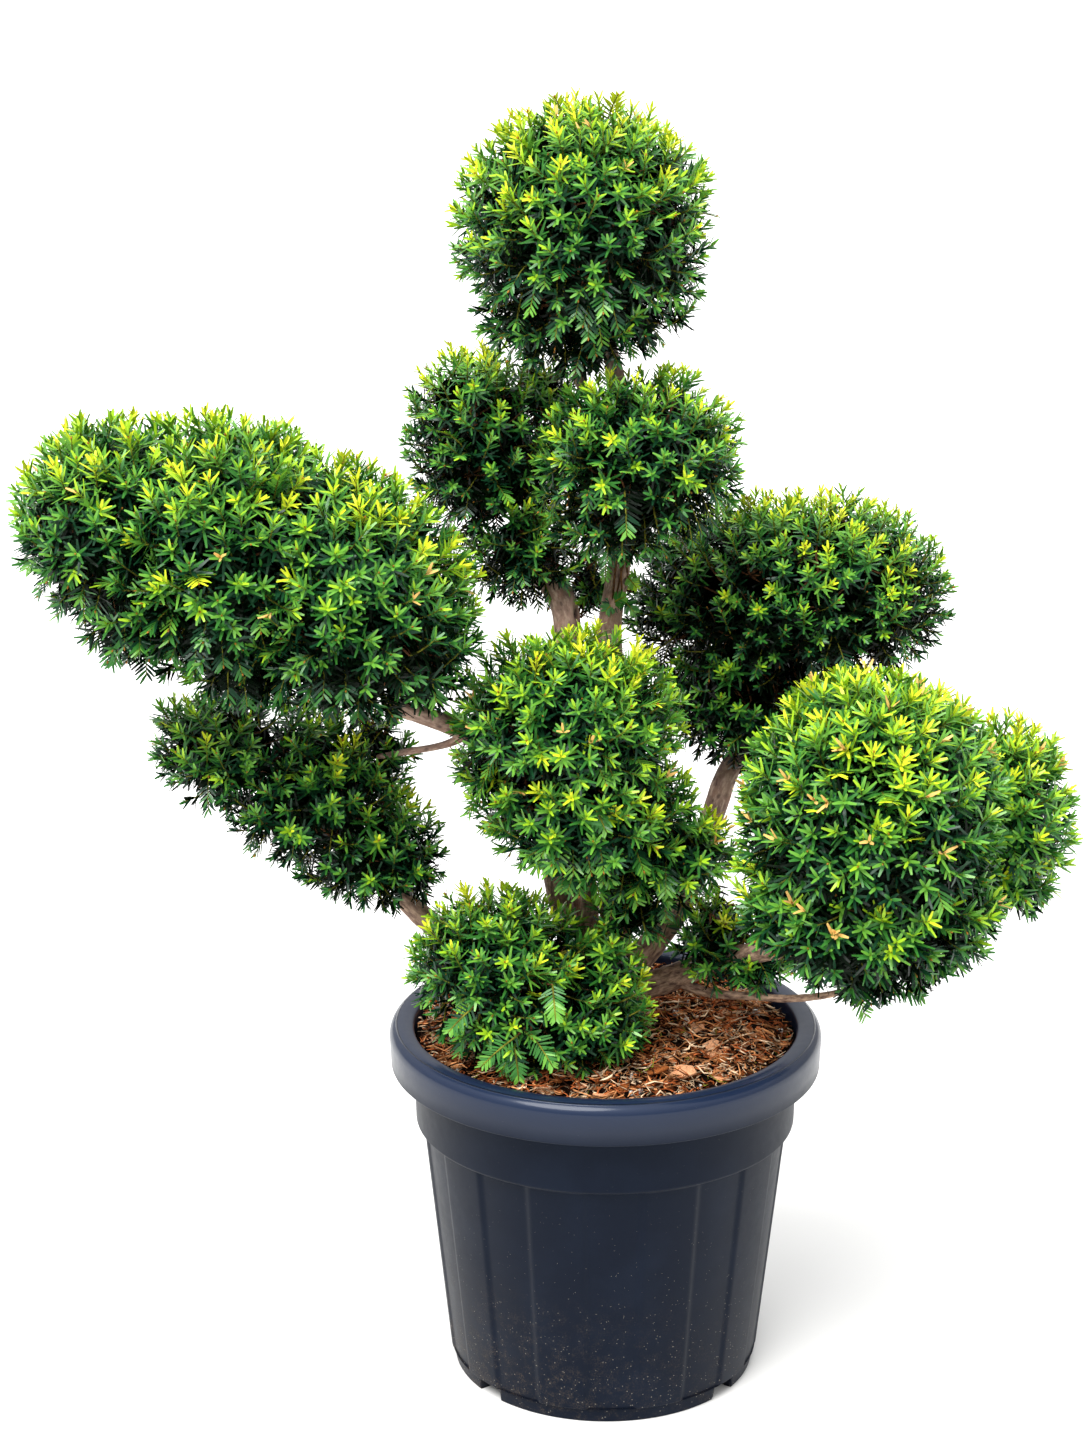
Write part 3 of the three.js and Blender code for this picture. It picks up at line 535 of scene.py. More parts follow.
# Each limb's radius at its foot and at its tip, and its route
LIMBS = {
    "leader_right": (18, 7.5, [
        [6, 33, 466], [11, 26, 515], [14, 20, 600], [9, 24, 760], [2, 20, 852],
        [9, 18, 900], [15, 15, 945], [14, 12, 1046], [5, 15, 1133], [-10, 18, 1172]]),
    "leader_left": (17, 13.5, [
        [-6, 36, 466], [-36, 38, 515], [-46, 38, 560], [-51, 42, 660], [-53, 46, 770], [-44, 52, 841],
        [-54, 66, 878], [-82, 80, 906]]),
    "stem_top": (7, 4.5, [
        [14, 12, 1046], [-12, 21, 1084], [-32, 25, 1120], [-37, 25, 1152]]),
    "bough_left": (13, 9, [
        [-4, 36, 462], [-40, 18, 506], [-60, 6, 590], [-78, -12, 660], [-112, -44, 718],
        [-150, -72, 760], [-200, -94, 787], [-236, -104, 804]]),
    "bough_left_low": (14, 11, [
        [-2, 42, 424], [-50, 33, 442], [-100, 26, 466], [-190, 20, 508], [-230, 16, 547]]),
    "twig_left": (4, 3, [
        [-146, -70, 757], [-172, -56, 741], [-212, -40, 728], [-248, -22, 716]]),
    "bough_right_back": (14.5, 11, [
        [8, 34, 450], [43, 36, 471], [57, 38, 489], [84, 54, 524], [118, 88, 614], [132, 98, 656],
        [149, 106, 687], [158, 110, 700]]),
    "bough_right_front": (14.5, 10, [
        [0, 42, 418], [30, 34, 426], [72, 25, 445], [115, 8, 470], [165, -34, 500],
        [212, -84, 528], [234, -112, 546]]),
    "bough_right_side": (9, 6, [
        [165, -34, 500], [232, -12, 522], [310, -4, 545], [376, -18, 572]]),
    "bough_right_thin": (5, 3, [
        [72, 25, 445], [112, 2, 438], [164, -30, 446], [205, -54, 454], [256, -82, 474],
        [280, -104, 500]]),
    "bough_front": (10, 8, [
        [-10, 26, 470], [-17, 8, 510], [-18, -22, 560], [-24, -52, 606]]),
    "bough_low_front": (10, 8, [
        [-4, 36, 414], [-26, 6, 430], [-44, -16, 444]]),
}
LIMB_TAPER_POWER = 1.3
BARK_SWELL = 0.06
BARK_ROW = 1.8
BARK_COLUMN = 1.9
RIDGE_SIZE = 6.5
PLATE_SIZE = 15
FLAKE_SIZE = 3.2
WRINKLE_SIZE = 5
WRINKLES_END = (450, 560)
SCAR_EVERY = 42
BARK_PALE = 0xB39A88
BARK = 0x8C7061
BARK_CRACK = 0x43302A
BARK_RED = 0x9A6B55
# Painted light: below these heights the bark is laid paler and warmer, streaked with darker cracks, so the
# low wood looks lit
BARK_FOOT_PAINTED_LIGHT_CRACK = 0x452C20
BARK_FOOT_PAINTED_LIGHT = 0xCDAA8C
FOOT_PAINTED_LIGHT_TOP = 600
FOOT_PAINTED_LIGHT_FULL = 460


def smooth_route(points, step):
    """Points a step apart on the centripetal Catmull-Rom curve: each span is a cubic whose end slopes
    weigh its neighbours by the square roots of their distances."""
    points = np.array(points, float)
    ends = [2 * points[:1] - points[1:2], points, 2 * points[-1:] - points[-2:-1]]
    knots = np.concatenate(ends)
    spacing = np.sqrt(np.linalg.norm(np.diff(knots, axis=0), axis=1))[:, None]
    a, b, c, d = knots[:-3], knots[1:-2], knots[2:-1], knots[3:]
    before, own, after = spacing[:-2], spacing[1:-1], spacing[2:]
    slope_b = own * ((b - a) / before - (c - a) / (before + own) + (c - b) / own)
    slope_c = own * ((c - b) / own - (d - b) / (own + after) + (d - c) / after)
    share = np.linspace(0, 1, 60)[:, None, None]
    cubic = b + slope_b * share
    cubic = cubic + (3 * (c - b) - 2 * slope_b - slope_c) * share**2
    cubic = cubic + (2 * (b - c) + slope_b + slope_c) * share**3
    path = cubic.transpose(1, 0, 2).reshape(-1, 3)
    travelled = np.concatenate([[0], np.cumsum(np.linalg.norm(np.diff(path, axis=0), axis=1))])
    rows = max(4, int(round(travelled[-1] / step)) + 1)
    wanted = np.linspace(0, travelled[-1], rows)
    return np.stack([np.interp(wanted, travelled, path[:, axis]) for axis in range(3)], axis=1)


def bark_skin(name, middles, radius, seed, replaced=()):
    """A limb under its bark: the smooth radius, plus plates, long ridges and flakes of noise that runs
    with the grain, plus wrinkles across old low wood, plus an uneven ring round each scar's pit."""
    rows, around = radius.shape
    step = np.linalg.norm(np.diff(middles, axis=0), axis=1)
    length = np.concatenate([[0], np.cumsum(step)])[:, None] * np.ones((1, around))
    turn = turns(around) * np.ones((rows, 1))
    grain = about_axis(radius, turn, length) + seed * 131.0
    coarse = np.clip(radius.mean(axis=1, keepdims=True) / 16, 0.22, 1.15)
    ridges = 1 - 2 * np.abs(lumps(grain * (1, 1, 0.2), RIDGE_SIZE, 1))
    plates = lumps(grain * (1, 1, 0.4), PLATE_SIZE, 2)
    flakes = lumps(grain * (1, 1, 0.55), FLAKE_SIZE, 3)
    wrinkled = 1 - smooth_step(middles[:, 2:], *WRINKLES_END)
    wrinkles = wrinkled * lumps(grain * (0.3, 0.3, 1), WRINKLE_SIZE, 4)
    relief = coarse * (0.4 * ridges + 0.8 * plates + 0.3 * flakes + 0.8 * wrinkles)
    scars = int(length[-1, 0] // SCAR_EVERY)
    for scar in range(scars):
        middle = (scar + seeded(scar + seed, 5)) * SCAR_EVERY
        facing = 2 * math.pi * seeded(scar + seed, 6)
        size = coarse.mean() * (2.2 + 4.5 * seeded(scar + seed, 7) ** 2)
        away = (turn - facing + math.pi) % (2 * math.pi) - math.pi
        distance = np.hypot(away * radius, (length - middle) * 0.8) / size * (1 + 0.5 * flakes)
        ring = 0.3 * np.exp(-((distance - 1.1) ** 2) * 5)
        pit = 0.4 * np.exp(-(distance**2) * 2.5)
        relief = relief + size * (ring - pit)
    skin = tube_skins(middles[None], (radius + relief)[None], around)
    piece = make_piece(name, skin, bark, replaced)
    poles = np.array([[0, 0, 0], [0, 0, length[-1, 0]]]) + seed * 131.0
    place = piece.data.attributes.new("grain_place", "FLOAT_VECTOR", "POINT")
    place.data.foreach_set("vector", (np.concatenate([grain.reshape(-1, 3), poles]) * MM).ravel())
    height = piece.data.attributes.new("bark_height", "FLOAT", "POINT")
    height.data.foreach_set("value", np.concatenate([(relief / coarse).ravel(), [0, 0]]))


# Yew bark: fibrous scales with dark red-brown cracks and pale weathered crowns, and on the low wood
# paler, warmer streaks that are painted light against the foliage's shade
bark, tree = new_material("yew_bark")
grain_place = add(tree, "Attribute", attribute_name="grain_place").outputs["Vector"]
relief_height = add(tree, "Attribute", attribute_name="bark_height").outputs["Fac"]
along_grain = add(tree, "Mapping", {"Vector": grain_place, "Scale": (1, 1, 0.4)}).outputs[0]
streaks = add(tree, "TexNoise", {
    "Vector": along_grain, "Scale": 1 / (4.5 * MM), "Detail": 6.0, "Roughness": 0.62})
patches = add(tree, "TexNoise", {"Vector": grain_place, "Scale": 1 / (28 * MM), "Detail": 4.0})
fibres = add(tree, "TexNoise", {"Vector": along_grain, "Scale": 1 / (1.1 * MM), "Detail": 3.0})
pit_place = add(tree, "Mapping", {"Vector": grain_place, "Scale": (1, 1, 0.6)}).outputs[0]
pits = add(tree, "TexVoronoi", {"Vector": pit_place, "Scale": 1 / (11 * MM)})
bark_place = add(tree, "TexCoord").outputs["Object"]
height = add(tree, "SeparateXYZ", {"Vector": bark_place}).outputs["Z"]
ridged = add(tree, "MapRange", {"Value": streaks.outputs["Fac"], "From Min": 0.36, "From Max": 0.62})
foot_painted_light = add(tree, "Mix", {
    0: ridged.outputs[0], 6: linear(BARK_FOOT_PAINTED_LIGHT_CRACK), 7: linear(BARK_FOOT_PAINTED_LIGHT)}, data_type="RGBA")

# Crowns, red patches, weathering, cracks, pits, then the foot's painted light: each colour starts where its
# source passes the first number, and is laid as thick as the third where it reaches the second
tint = linear(BARK_CRACK)
for source, start, full, most, laid in (
        (relief_height, -1.1, 0.9, 1.0, linear(BARK)),
        (patches.outputs["Fac"], 0.5, 0.7, 0.6, linear(BARK_RED)),
        (streaks.outputs["Fac"], 0.47, 0.68, 0.85, linear(BARK_PALE)),
        (streaks.outputs["Fac"], 0.4, 0.28, 0.8, linear(BARK_CRACK)),
        (pits.outputs["Distance"], 0.2, 0.1, 0.7, linear(BARK_CRACK)),
        (height, FOOT_PAINTED_LIGHT_TOP * MM, FOOT_PAINTED_LIGHT_FULL * MM, 0.7, foot_painted_light.outputs[2])):
    share = add(tree, "MapRange", {"Value": source, "From Min": start, "From Max": full, "To Max": most})
    tint = add(tree, "Mix", {0: share.outputs[0], 6: tint, 7: laid}, data_type="RGBA").outputs[2]
scales = add(tree, "Bump", {"Height": streaks.outputs["Fac"], "Strength": 0.5, "Distance": 0.9 * MM})
threads = add(tree, "Bump", {
    "Height": fibres.outputs["Fac"], "Normal": scales.outputs[0], "Strength": 0.5, "Distance": 0.5 * MM})
lay_finish(tree, {"Base Color": tint, "Normal": threads.outputs[0], "Roughness": 0.82})


def limb_radius(foot, tip, share):
    """The smooth radius of a limb: from foot to tip, by the share of the way to the power 1.3."""
    return foot + (tip - foot) * share**LIMB_TAPER_POWER


def turns_round(radius):
    """Angles round a limb, close enough for the bark's relief."""
    return turns(int(np.clip(round(2 * math.pi * radius / BARK_COLUMN), 14, 72)))


limb_middles = {}
limb_radii = {}
for seed, (name, (foot, tip, route)) in enumerate(LIMBS.items()):
    middles = smooth_route(route, BARK_ROW)
    share = np.linspace(0, 1, len(middles))[:, None]
    turn = turns_round(foot)
    collar = 1 + 0.22 * np.exp(-share * foot)
    rounded_tip = np.sqrt(np.clip((1 - share) / 0.02, 0.05, 1))
    swell = 1 + BARK_SWELL * np.sin(2 * turn + 11 * share + foot)
    bark_radius = limb_radius(foot, tip, share) * swell * collar * rounded_tip
    bark_skin(name + "_bark", middles, bark_radius, seed + 1, [name])
    limb_middles[name] = middles
    limb_radii[name] = limb_radius(foot, tip, share[:, 0])

trunk_middles = smooth_route(TRUNK_ROUTE, BARK_ROW)
trunk_middles = trunk_middles[trunk_middles[:, 2] > SOIL_TOP - 9]
share = ((trunk_middles[:, 2] - TRUNK_ROUTE[0][2]) / (TRUNK_ROUTE[-1][2] - TRUNK_ROUTE[0][2]))[:, None]
turn = turns_round(TRUNK_FOOT_RADIUS * 1.4)
flare = FLARE * np.exp(-share * (TRUNK_ROUTE[-1][2] - TRUNK_ROUTE[0][2]) / FLARE_HEIGHT)
roots = 0.6 + 0.4 * np.cos(FLARE_ROOTS * turn + 0.6)
domed = np.sqrt(np.clip(1 - ((share - 0.62) / 0.4).clip(0) ** 2, 0.02, 1))
plain = TRUNK_FOOT_RADIUS + (TRUNK_TOP_RADIUS - TRUNK_FOOT_RADIUS) * share
trunk_radius = plain * domed * (1 + flare * roots + 0.03 * np.sin(3 * turn + 7 * share))
bark_skin("trunk_bark", trunk_middles, trunk_radius, 20, ["trunk"])

stub_middles = smooth_route(STUB_ROUTE, BARK_ROW)
share = np.linspace(0, 1, len(stub_middles))[:, None]
stub_radius = STUB_RADIUS * (1 + 0.25 * (1 - share)) * np.sqrt(np.clip((1 - share) / 0.15, 0.03, 1))
bark_skin("trunk_stub", stub_middles, stub_radius * np.ones((1, 40)), 23)


# Foliage: each clipped mass grows from its own limb. A stem runs on into the middle of each of its
# lobes, twigs spread from there, and a shoot set with needles ends each twig at the clipped surface.

# Each mass has its needles' length, its freshness and how that falls from crown to foot, both partly
# painted light (a lit crown, a shaded foot), its share of dried tips, its lobes as middle and radii, and
# its feathers, whose numbers are explained below.
MASSES = {
    "foliage_top": dict(needle=20, fresh_and_lit=0.05, fresh_and_lit_fall=0.36, dried=0.03, lobes=[
        [-26, 20, 1287, 136, 130, 131], [-31, 20, 1198, 105, 98, 74]]),
    "foliage_tier_left": dict(needle=17, fresh_and_lit=-0.02, fresh_and_lit_fall=0.40, lobes=[
        [-92, 85, 925, 65, 70, 70], [-129, 95, 1021, 95, 95, 112], [-167, 95, 1086, 47, 70, 47],
        [-69, 95, 1092, 42, 65, 42], [-20, 88, 882, 36, 45, 36]]),
    "foliage_tier_right": dict(needle=19, fresh_and_lit=0.0, fresh_and_lit_fall=0.28, lobes=[
        [32, -35, 1056, 112, 95, 91], [20, -30, 993, 88, 80, 54]], feathers=[
        [-3, -2, 908, -0.02, -0.1, -1.0, 42, 12, 0.42], [30, 2, 899, 0.6, -0.5, -0.62, 16, 9, 0.7],
        [18, -2, 890, 0.69, -0.5, 0.52, 20, 11, 0.4], [28, 0, 873, 0.69, -0.43, -0.59, 19, 11, 0.35],
        [-2, 2, 874, -0.65, -0.53, -0.54, 14, 11, 0.35]]),
    "foliage_left": dict(needle=24, fresh_and_lit=0.01, fresh_and_lit_fall=0.29, dried=0.05, lobes=[
        [-270, -115, 927, 115, 135, 127], [-206, -100, 887, 75, 110, 91],
        [-384, -120, 971, 125, 140, 137], [-500, -110, 1000, 108, 120, 104], [-484, -112, 928, 75, 95, 81],
        [-376, -110, 862, 62, 80, 56]]),
    "foliage_left_low": dict(needle=20, fresh_and_lit=-0.06, fresh_and_lit_fall=0.30, lobes=[
        [-251, 15, 597, 79, 75, 70], [-318, 10, 668, 96, 95, 94], [-402, 0, 718, 84, 85, 66],
        [-449, 0, 742, 34, 45, 32], [-241, 0, 720, 32, 45, 26]]),
    "foliage_front": dict(needle=22, fresh_and_lit=0.12, fresh_and_lit_fall=0.23, dried=0.10, lobes=[
        [-23, -95, 690, 106, 95, 86], [-41, -100, 788, 121, 110, 96], [70, -60, 626, 71, 65, 54],
        [20, -70, 606, 50, 50, 36], [-120, -80, 722, 42, 60, 42], [27, -60, 556, 42, 45, 34]], feathers=[
        [-3, -136, 614, 0, -0.23, -0.97, 46, 14, 0.42], [17, -138, 646, 0.23, -0.36, -0.9, 34, 15, 0.36],
        [-8, -166, 692, 0.76, -0.62, -0.21, 34, 15, 0.36], [0, -176, 685, 0.45, -0.43, -0.78, 37, 15, 0.36]]),
    "foliage_low_front": dict(needle=21, fresh_and_lit=0.05, fresh_and_lit_fall=0.26, lobes=[
        [-116, -80, 510, 98, 95, 78], [-70, -95, 448, 106, 80, 67], [-8, -70, 468, 52, 60, 78]], feathers=[
        [-130, -180, 425, -0.75, -0.32, -0.57, 50, 15, 0.4],
        [-55, -180, 425, 0.56, -0.39, -0.73, 42, 16, 0.42],
        [-91, -176, 408, 0.13, -0.31, -0.94, 32, 14, 0.36],
        [-52, -178, 477, 0.1, -0.53, -0.84, 38, 16, 0.5],
        [-165, -172, 460, -0.7, -0.37, -0.62, 36, 14, 0.34]]),
    "foliage_right_back": dict(needle=17, fresh_and_lit=-0.06, fresh_and_lit_fall=0.44, lobes=[
        [157, 120, 755, 107, 95, 98], [214, 120, 866, 168, 130, 122], [90, 115, 855, 73, 85, 84]]),
    "foliage_right_front": dict(needle=27, fresh_and_lit=0.0, fresh_and_lit_fall=0.38, dried=0.13, lobes=[
        [262, -160, 612, 122, 120, 94], [274, -170, 715, 137, 140, 141],
        [348, -150, 594, 60, 75, 49], [280, -148, 553, 42, 55, 62]], feathers=[
        [272, -175, 483, 0.33, -0.18, -0.93, 66, 20, 0.42],
        [294, -180, 521, 0.9, -0.35, -0.27, 43, 15, 0.26],
        [330, -190, 511, 0.93, -0.26, -0.26, 42, 17, 0.34],
        [339, -200, 536, 0.56, -0.29, -0.77, 38, 17, 0.3]]),
    "foliage_right_side": dict(needle=23, fresh_and_lit=0.12, fresh_and_lit_fall=0.34, dried=0.06, lobes=[
        [420, -30, 600, 60, 70, 54], [428, -30, 670, 76, 95, 98]]),
    "foliage_right_low": dict(needle=20, fresh_and_lit=0.06, fresh_and_lit_fall=0.28, lobes=[
        [121, 10, 508, 51, 50, 46], [153, -10, 483, 57, 45, 37]]),
}
GOLDEN_ANGLE = math.pi * (3 - math.sqrt(5))
CREASE_FILL = 22
CREASE_DEPTH = 16
# Deeper layers are toned darker by their shade: partly older needles, partly painted shade
LAYERS = [
    dict(spacing=24, depth=0, ragged=1.0, shade=0.0),
    dict(spacing=25, depth=22, ragged=0.6, shade=0.42),
    dict(spacing=28, depth=42, ragged=0.4, shade=0.6),
]
BRUSH = dict(needles=25, length=46, curl=0.45, flat=0.12, lean=(78, 30), wide=1.0, fresh_tip=(0.68, 2.6))
SPRAY = dict(needles=26, length=66, curl=-0.8, flat=0.93, lean=(66, 36), wide=0.86, fresh_tip=(0.68, 2.6))
FEATHER = dict(SPRAY, curl=-0.3, fresh_tip=(0.3, 2))
STEM_SHARES = np.linspace(0, 1.02, 4)
SHOOT_LIFT = 0.35
SHOOT_STRAY = 1.2
FORK_SPACING = 52
FORK_DEPTH = 46
SPACE_MARGIN = 5
LIMB_CLEARANCE = 1.5
NEEDLE_WIDTH_LEAST = 1.8
NEEDLE_WIDTH_SHARE = 0.072
HEART_DEPTH = 46
HEART_LEAST_SHARE = 0.4
HEART_RINGS = 20
HEART_COLUMNS = 32
# The near-black deep tone is mostly painted shade, dealt to needles deep inside and underneath
TINTS = {
    "deep": (0x061407, 0.1),
    "blue": (0x123A22, 0.3),
    "green": (0x336F2A, 0.4),
    "leaf": (0x629B35, 0.42),
    "lime": (0x9CC428, 0.32),
    "yellow": (0xCCD72E, 0.22),
    "tan": (0xDDB267, 0.2),
}
TINT_STEPS = [0.22, 0.38, 0.58, 0.82, 1.02]
FRESH_AND_LIT_LEAST = 0.07
DRIED_BEYOND = 0.9
SPRAYS_ABOVE = 0.07
SPRAYS_UNDER = 0.62
BUD = 0xB47A34
BUD_SHARE = 0.3
STEM_RADII = np.array([1.2, 1.1, 0.9, 0.5])
BUD_RADII = np.array([0.8, 1.2, 0.3])
TWIG_RADII = np.array([1.7, 1.4, 1.2])
BRANCH_RADII = np.array([4, 3, 2])
STEM_GREEN = 0x80802C
TWIG_BROWN = 0x6E4A30
# Painted shade: the near-black colour of the shells deep inside each mass
PAINTED_SHADE_HEART = 0x040603

every_limb = np.concatenate(list(limb_middles.values()))[::5]
every_radius = np.concatenate(list(limb_radii.values()))[::5]


def lobe_distances(points, lobes):
    """Distance from each point to each lobe along the lobe's radius, negative inside: the length of
    the offset times one less the inverse of its length in radii."""
    offset = points[:, None] - lobes[:, :3]
    depth = np.maximum(np.linalg.norm(offset / lobes[:, 3:], axis=-1), 1e-6)
    return np.linalg.norm(offset, axis=-1) * (1 - 1 / depth)


def mass_distances(points, lobes):
    """Distance to a clipped mass: the smooth minimum -k log(sum of exp(-d / k)) of the distances to
    its lobes, which fills the creases between them."""
    share = lobe_distances(points, lobes) / CREASE_FILL
    least = share.min(axis=1)
    return CREASE_FILL * (least - np.log(np.exp(least[:, None] - share).sum(axis=1)))


def in_own_space(points, name):
    """True where the mass is nearer than any other, and the point is clear of pot, soil and limbs."""
    own = mass_distances(points, np.array(MASSES[name]["lobes"], float))
    others = [lobe for other in MASSES if other != name for lobe in MASSES[other]["lobes"]]
    nearest = lobe_distances(points, np.array(others, float)).min(axis=1)
    over_rim = np.hypot(points[:, 0], points[:, 1]) > RIM_CREST_RADIUS - RIM_ROLL - SPACE_MARGIN
    floor = np.where(over_rim, POT_HEIGHT, SOIL_TOP) + SPACE_MARGIN
    gaps = np.linalg.norm(points[:, None] - every_limb, axis=-1) - every_radius
    clear = gaps.min(axis=1) > LIMB_CLEARANCE
    return (own < SPACE_MARGIN) & (nearest > own + SPACE_MARGIN) & (points[:, 2] > floor) & clear


def strays(seed, first_channel):
    """Seeded vectors whose parts run from -0.5 to 0.5."""
    return np.stack([seeded(seed, first_channel + axis) - 0.5 for axis in range(3)], axis=-1)


def shoot_seats(name, index, spacing, depth, ragged):
    """Where shoots end: directions spread evenly over each lobe by the golden angle, moved out to the
    clipped surface or to a depth under it, and drawn in unevenly. Each is kept where its tip isn't
    buried in another lobe and has room of its own."""
    lobes = np.array(MASSES[name]["lobes"], float)
    seats = []
    earlier = np.full((1, 3), np.inf)
    for number, lobe in enumerate(lobes):
        radii = np.maximum(lobe[3:] - depth, HEART_LEAST_SHARE * lobe[3:])
        area = 4 * math.pi * (radii[0] * radii[1] + radii[1] * radii[2] + radii[2] * radii[0]) / 3
        tries = int(area / spacing**2)
        k = np.arange(tries)
        seed = 100000 * (10 * index + number) + k
        rise = 1 - 2 * k / (tries - 1)
        flat = np.sqrt(1 - rise**2)
        even = about_axis(flat, k * GOLDEN_ANGLE, rise)
        way = unit(even + strays(seed, 1) * SHOOT_STRAY * spacing / radii.mean())
        tip = lobe[:3] + way * radii
        kept = lobe_distances(tip, lobes).min(axis=1) > -depth - CREASE_DEPTH
        tip = tip - way * (mass_distances(tip, lobes) + depth)[:, None]
        room = np.linalg.norm(tip[:, None] - earlier, axis=-1).min(axis=1)
        kept = kept & (room > 0.7 * spacing)
        drawn_in = ragged * np.maximum(5 + 12 * lumps(tip, 36, 4) + 14 * (seeded(seed, 4) - 0.45), 0)
        tip = tip - way * drawn_in[:, None]
        kept = kept & in_own_space(tip, name)
        earlier = np.concatenate([earlier, tip[kept]])
        seats.append([part[kept] for part in (seed, tip, way, unit(way / radii), np.full(tries, number))])
    return [np.concatenate(parts) for parts in zip(*seats)]


def along_stem(tip, axis, curl, length, share):
    """Points on stems that curl evenly: tip - length * ((1 - s) * axis + s * (1 - s) / 2 * curl)."""
    left = (1 - share)[..., None]
    back = left * axis[:, None] + share[..., None] * left / 2 * curl[:, None]
    return tip[:, None] - length[:, None, None] * back


def grow_needles(kind, seed, tip, axis, face, curl, length, long, fresh_and_lit, dried):
    """Needles of many shoots at once. A shoot's needles follow a golden-angle spiral from foot to tip,
    lean further forward and grow shorter towards the tip, and on a flat spray lie in two ranks whose
    upper side is turned to the face. A needle's tone steps up with the shoot's freshness and painted
    light plus a power of its share of the way to the tip, and a dried shoot ends in tan needles."""
    count = kind["needles"]
    share = np.ones((len(seed), 1)) * ((np.arange(count) + 0.5) / count)**0.75
    number = seed[:, None] * 64.0 + np.arange(count)
    ahead = unit(axis[:, None] + curl[:, None] * (share[..., None] - 0.5))
    above = square_to(face[:, None], ahead)
    beside = np.cross(ahead, above)
    turn = np.arange(count) * GOLDEN_ANGLE + 2 * math.pi * seeded(seed, 9)[:, None]
    side = np.cos(turn)
    if kind is not BRUSH:
        side = np.where(np.arange(count) % 2, 1.0, -1.0) * np.ones_like(turn)
    rest = np.sin(turn) * (1 - kind["flat"])
    out = unit(side[..., None] * beside + rest[..., None] * above + 0.12 * kind["flat"] * above)
    foot_lean, tip_lean = kind["lean"]
    lean = foot_lean + (tip_lean - foot_lean) * share**1.5 + 18 * (seeded(number, 1) - 0.5)
    lean = np.radians(lean)[..., None]
    way = np.cos(lean) * ahead + np.sin(lean) * out
    upper = (np.sin(lean) * ahead - np.cos(lean) * out) * (1 - kind["flat"]) + above * kind["flat"]
    upper = square_to(upper + 0.5 * strays(number, 2), way)
    foot = along_stem(tip, axis, curl, length, share)
    tapered = (1 - 0.55 * share**3) * (0.7 + 0.3 * np.minimum(share * 5, 1))
    size = long * (0.85 + 0.3 * seeded(number, 5)) * tapered
    bend = 0.3 * (seeded(number, 6) - 0.25)
    width = kind["wide"] * (NEEDLE_WIDTH_LEAST + NEEDLE_WIDTH_SHARE * long) * np.ones_like(size)
    gain, power = kind["fresh_tip"]
    tone = np.digitize(fresh_and_lit[:, None] + gain * share**power + 0.1 * (seeded(number, 7) - 0.5), TINT_STEPS)
    tone = np.where(dried[:, None] & (share > DRIED_BEYOND), len(TINT_STEPS) + 1, tone)
    return [part.reshape(-1, *part.shape[2:]) for part in (foot, way, upper, size, bend, width, tone)]


def blade_mesh(foot, way, upper, size, bend, width):
    """Needles as blades of four faces: narrow at the stalk, widest before half of the length, and
    blunt at the tip. Each arches back by its bend times the share of its length squared."""
    across = np.cross(way, upper)
    share = np.array([0, 0, 0.42, 0.42, 1, 1])
    half = np.array([-0.26, 0.26, -0.5, 0.5, -0.27, 0.27])
    points = foot[:, None] + way[:, None] * (size[:, None] * share)[..., None]
    points = points + across[:, None] * (width[:, None] * half)[..., None]
    points = points - upper[:, None] * ((bend * size)[:, None] * share**2)[..., None]
    blade = np.array([[0, 1, 3], [0, 3, 2], [2, 3, 5], [2, 5, 4]])
    faces = (blade[None] + 6 * np.arange(len(foot))[:, None, None]).reshape(-1, 3)
    return points.reshape(-1, 3), [faces]


def needle_finish(name, colour, gloss):
    """Waxed living needles: a soft gloss over a plain colour, and less of it on the old shaded needles
    and the pale tips."""
    material, tree = new_material(name)
    lay_finish(tree, {
        "Base Color": linear(colour), "Roughness": 0.3, "IOR": 1.45, "Specular IOR Level": gloss})
    return material


def grow_twigs(name, starts, ends, lean, radii):
    """Thin twigs: each runs from its start to its end through a middle that is pushed aside."""
    middles = np.stack([starts, (starts + ends) / 2 + lean, ends], axis=1)
    make_piece(name, tube_skins(middles, radii, 3), twig_finish, [name.rsplit("_", 1)[0]])


needle_finishes = [needle_finish("yew_needle_" + tone, *finish) for tone, finish in TINTS.items()]
stem_finish = mottled_finish("green_shoot_bark", STEM_GREEN, 0.6, 8)
bud_finish = mottled_finish("yew_bud_scales", BUD, 0.5, 2)
twig_finish = mottled_finish("brown_twig_bark", TWIG_BROWN, 0.7, 4)
painted_shade_finish = mottled_finish("painted_inner_shade", PAINTED_SHADE_HEART, 0.95, 9, 0.0)
towards_viewer = np.array([0, -1, 0.35])
up = np.array([0, 0, 1.0])
level = np.array([1.0, 1.0, 0])
polar = np.linspace(0.03, math.pi - 0.03, HEART_RINGS)[::-1, None]
ball = about_axis(np.sin(polar), turns(HEART_COLUMNS), np.cos(polar))

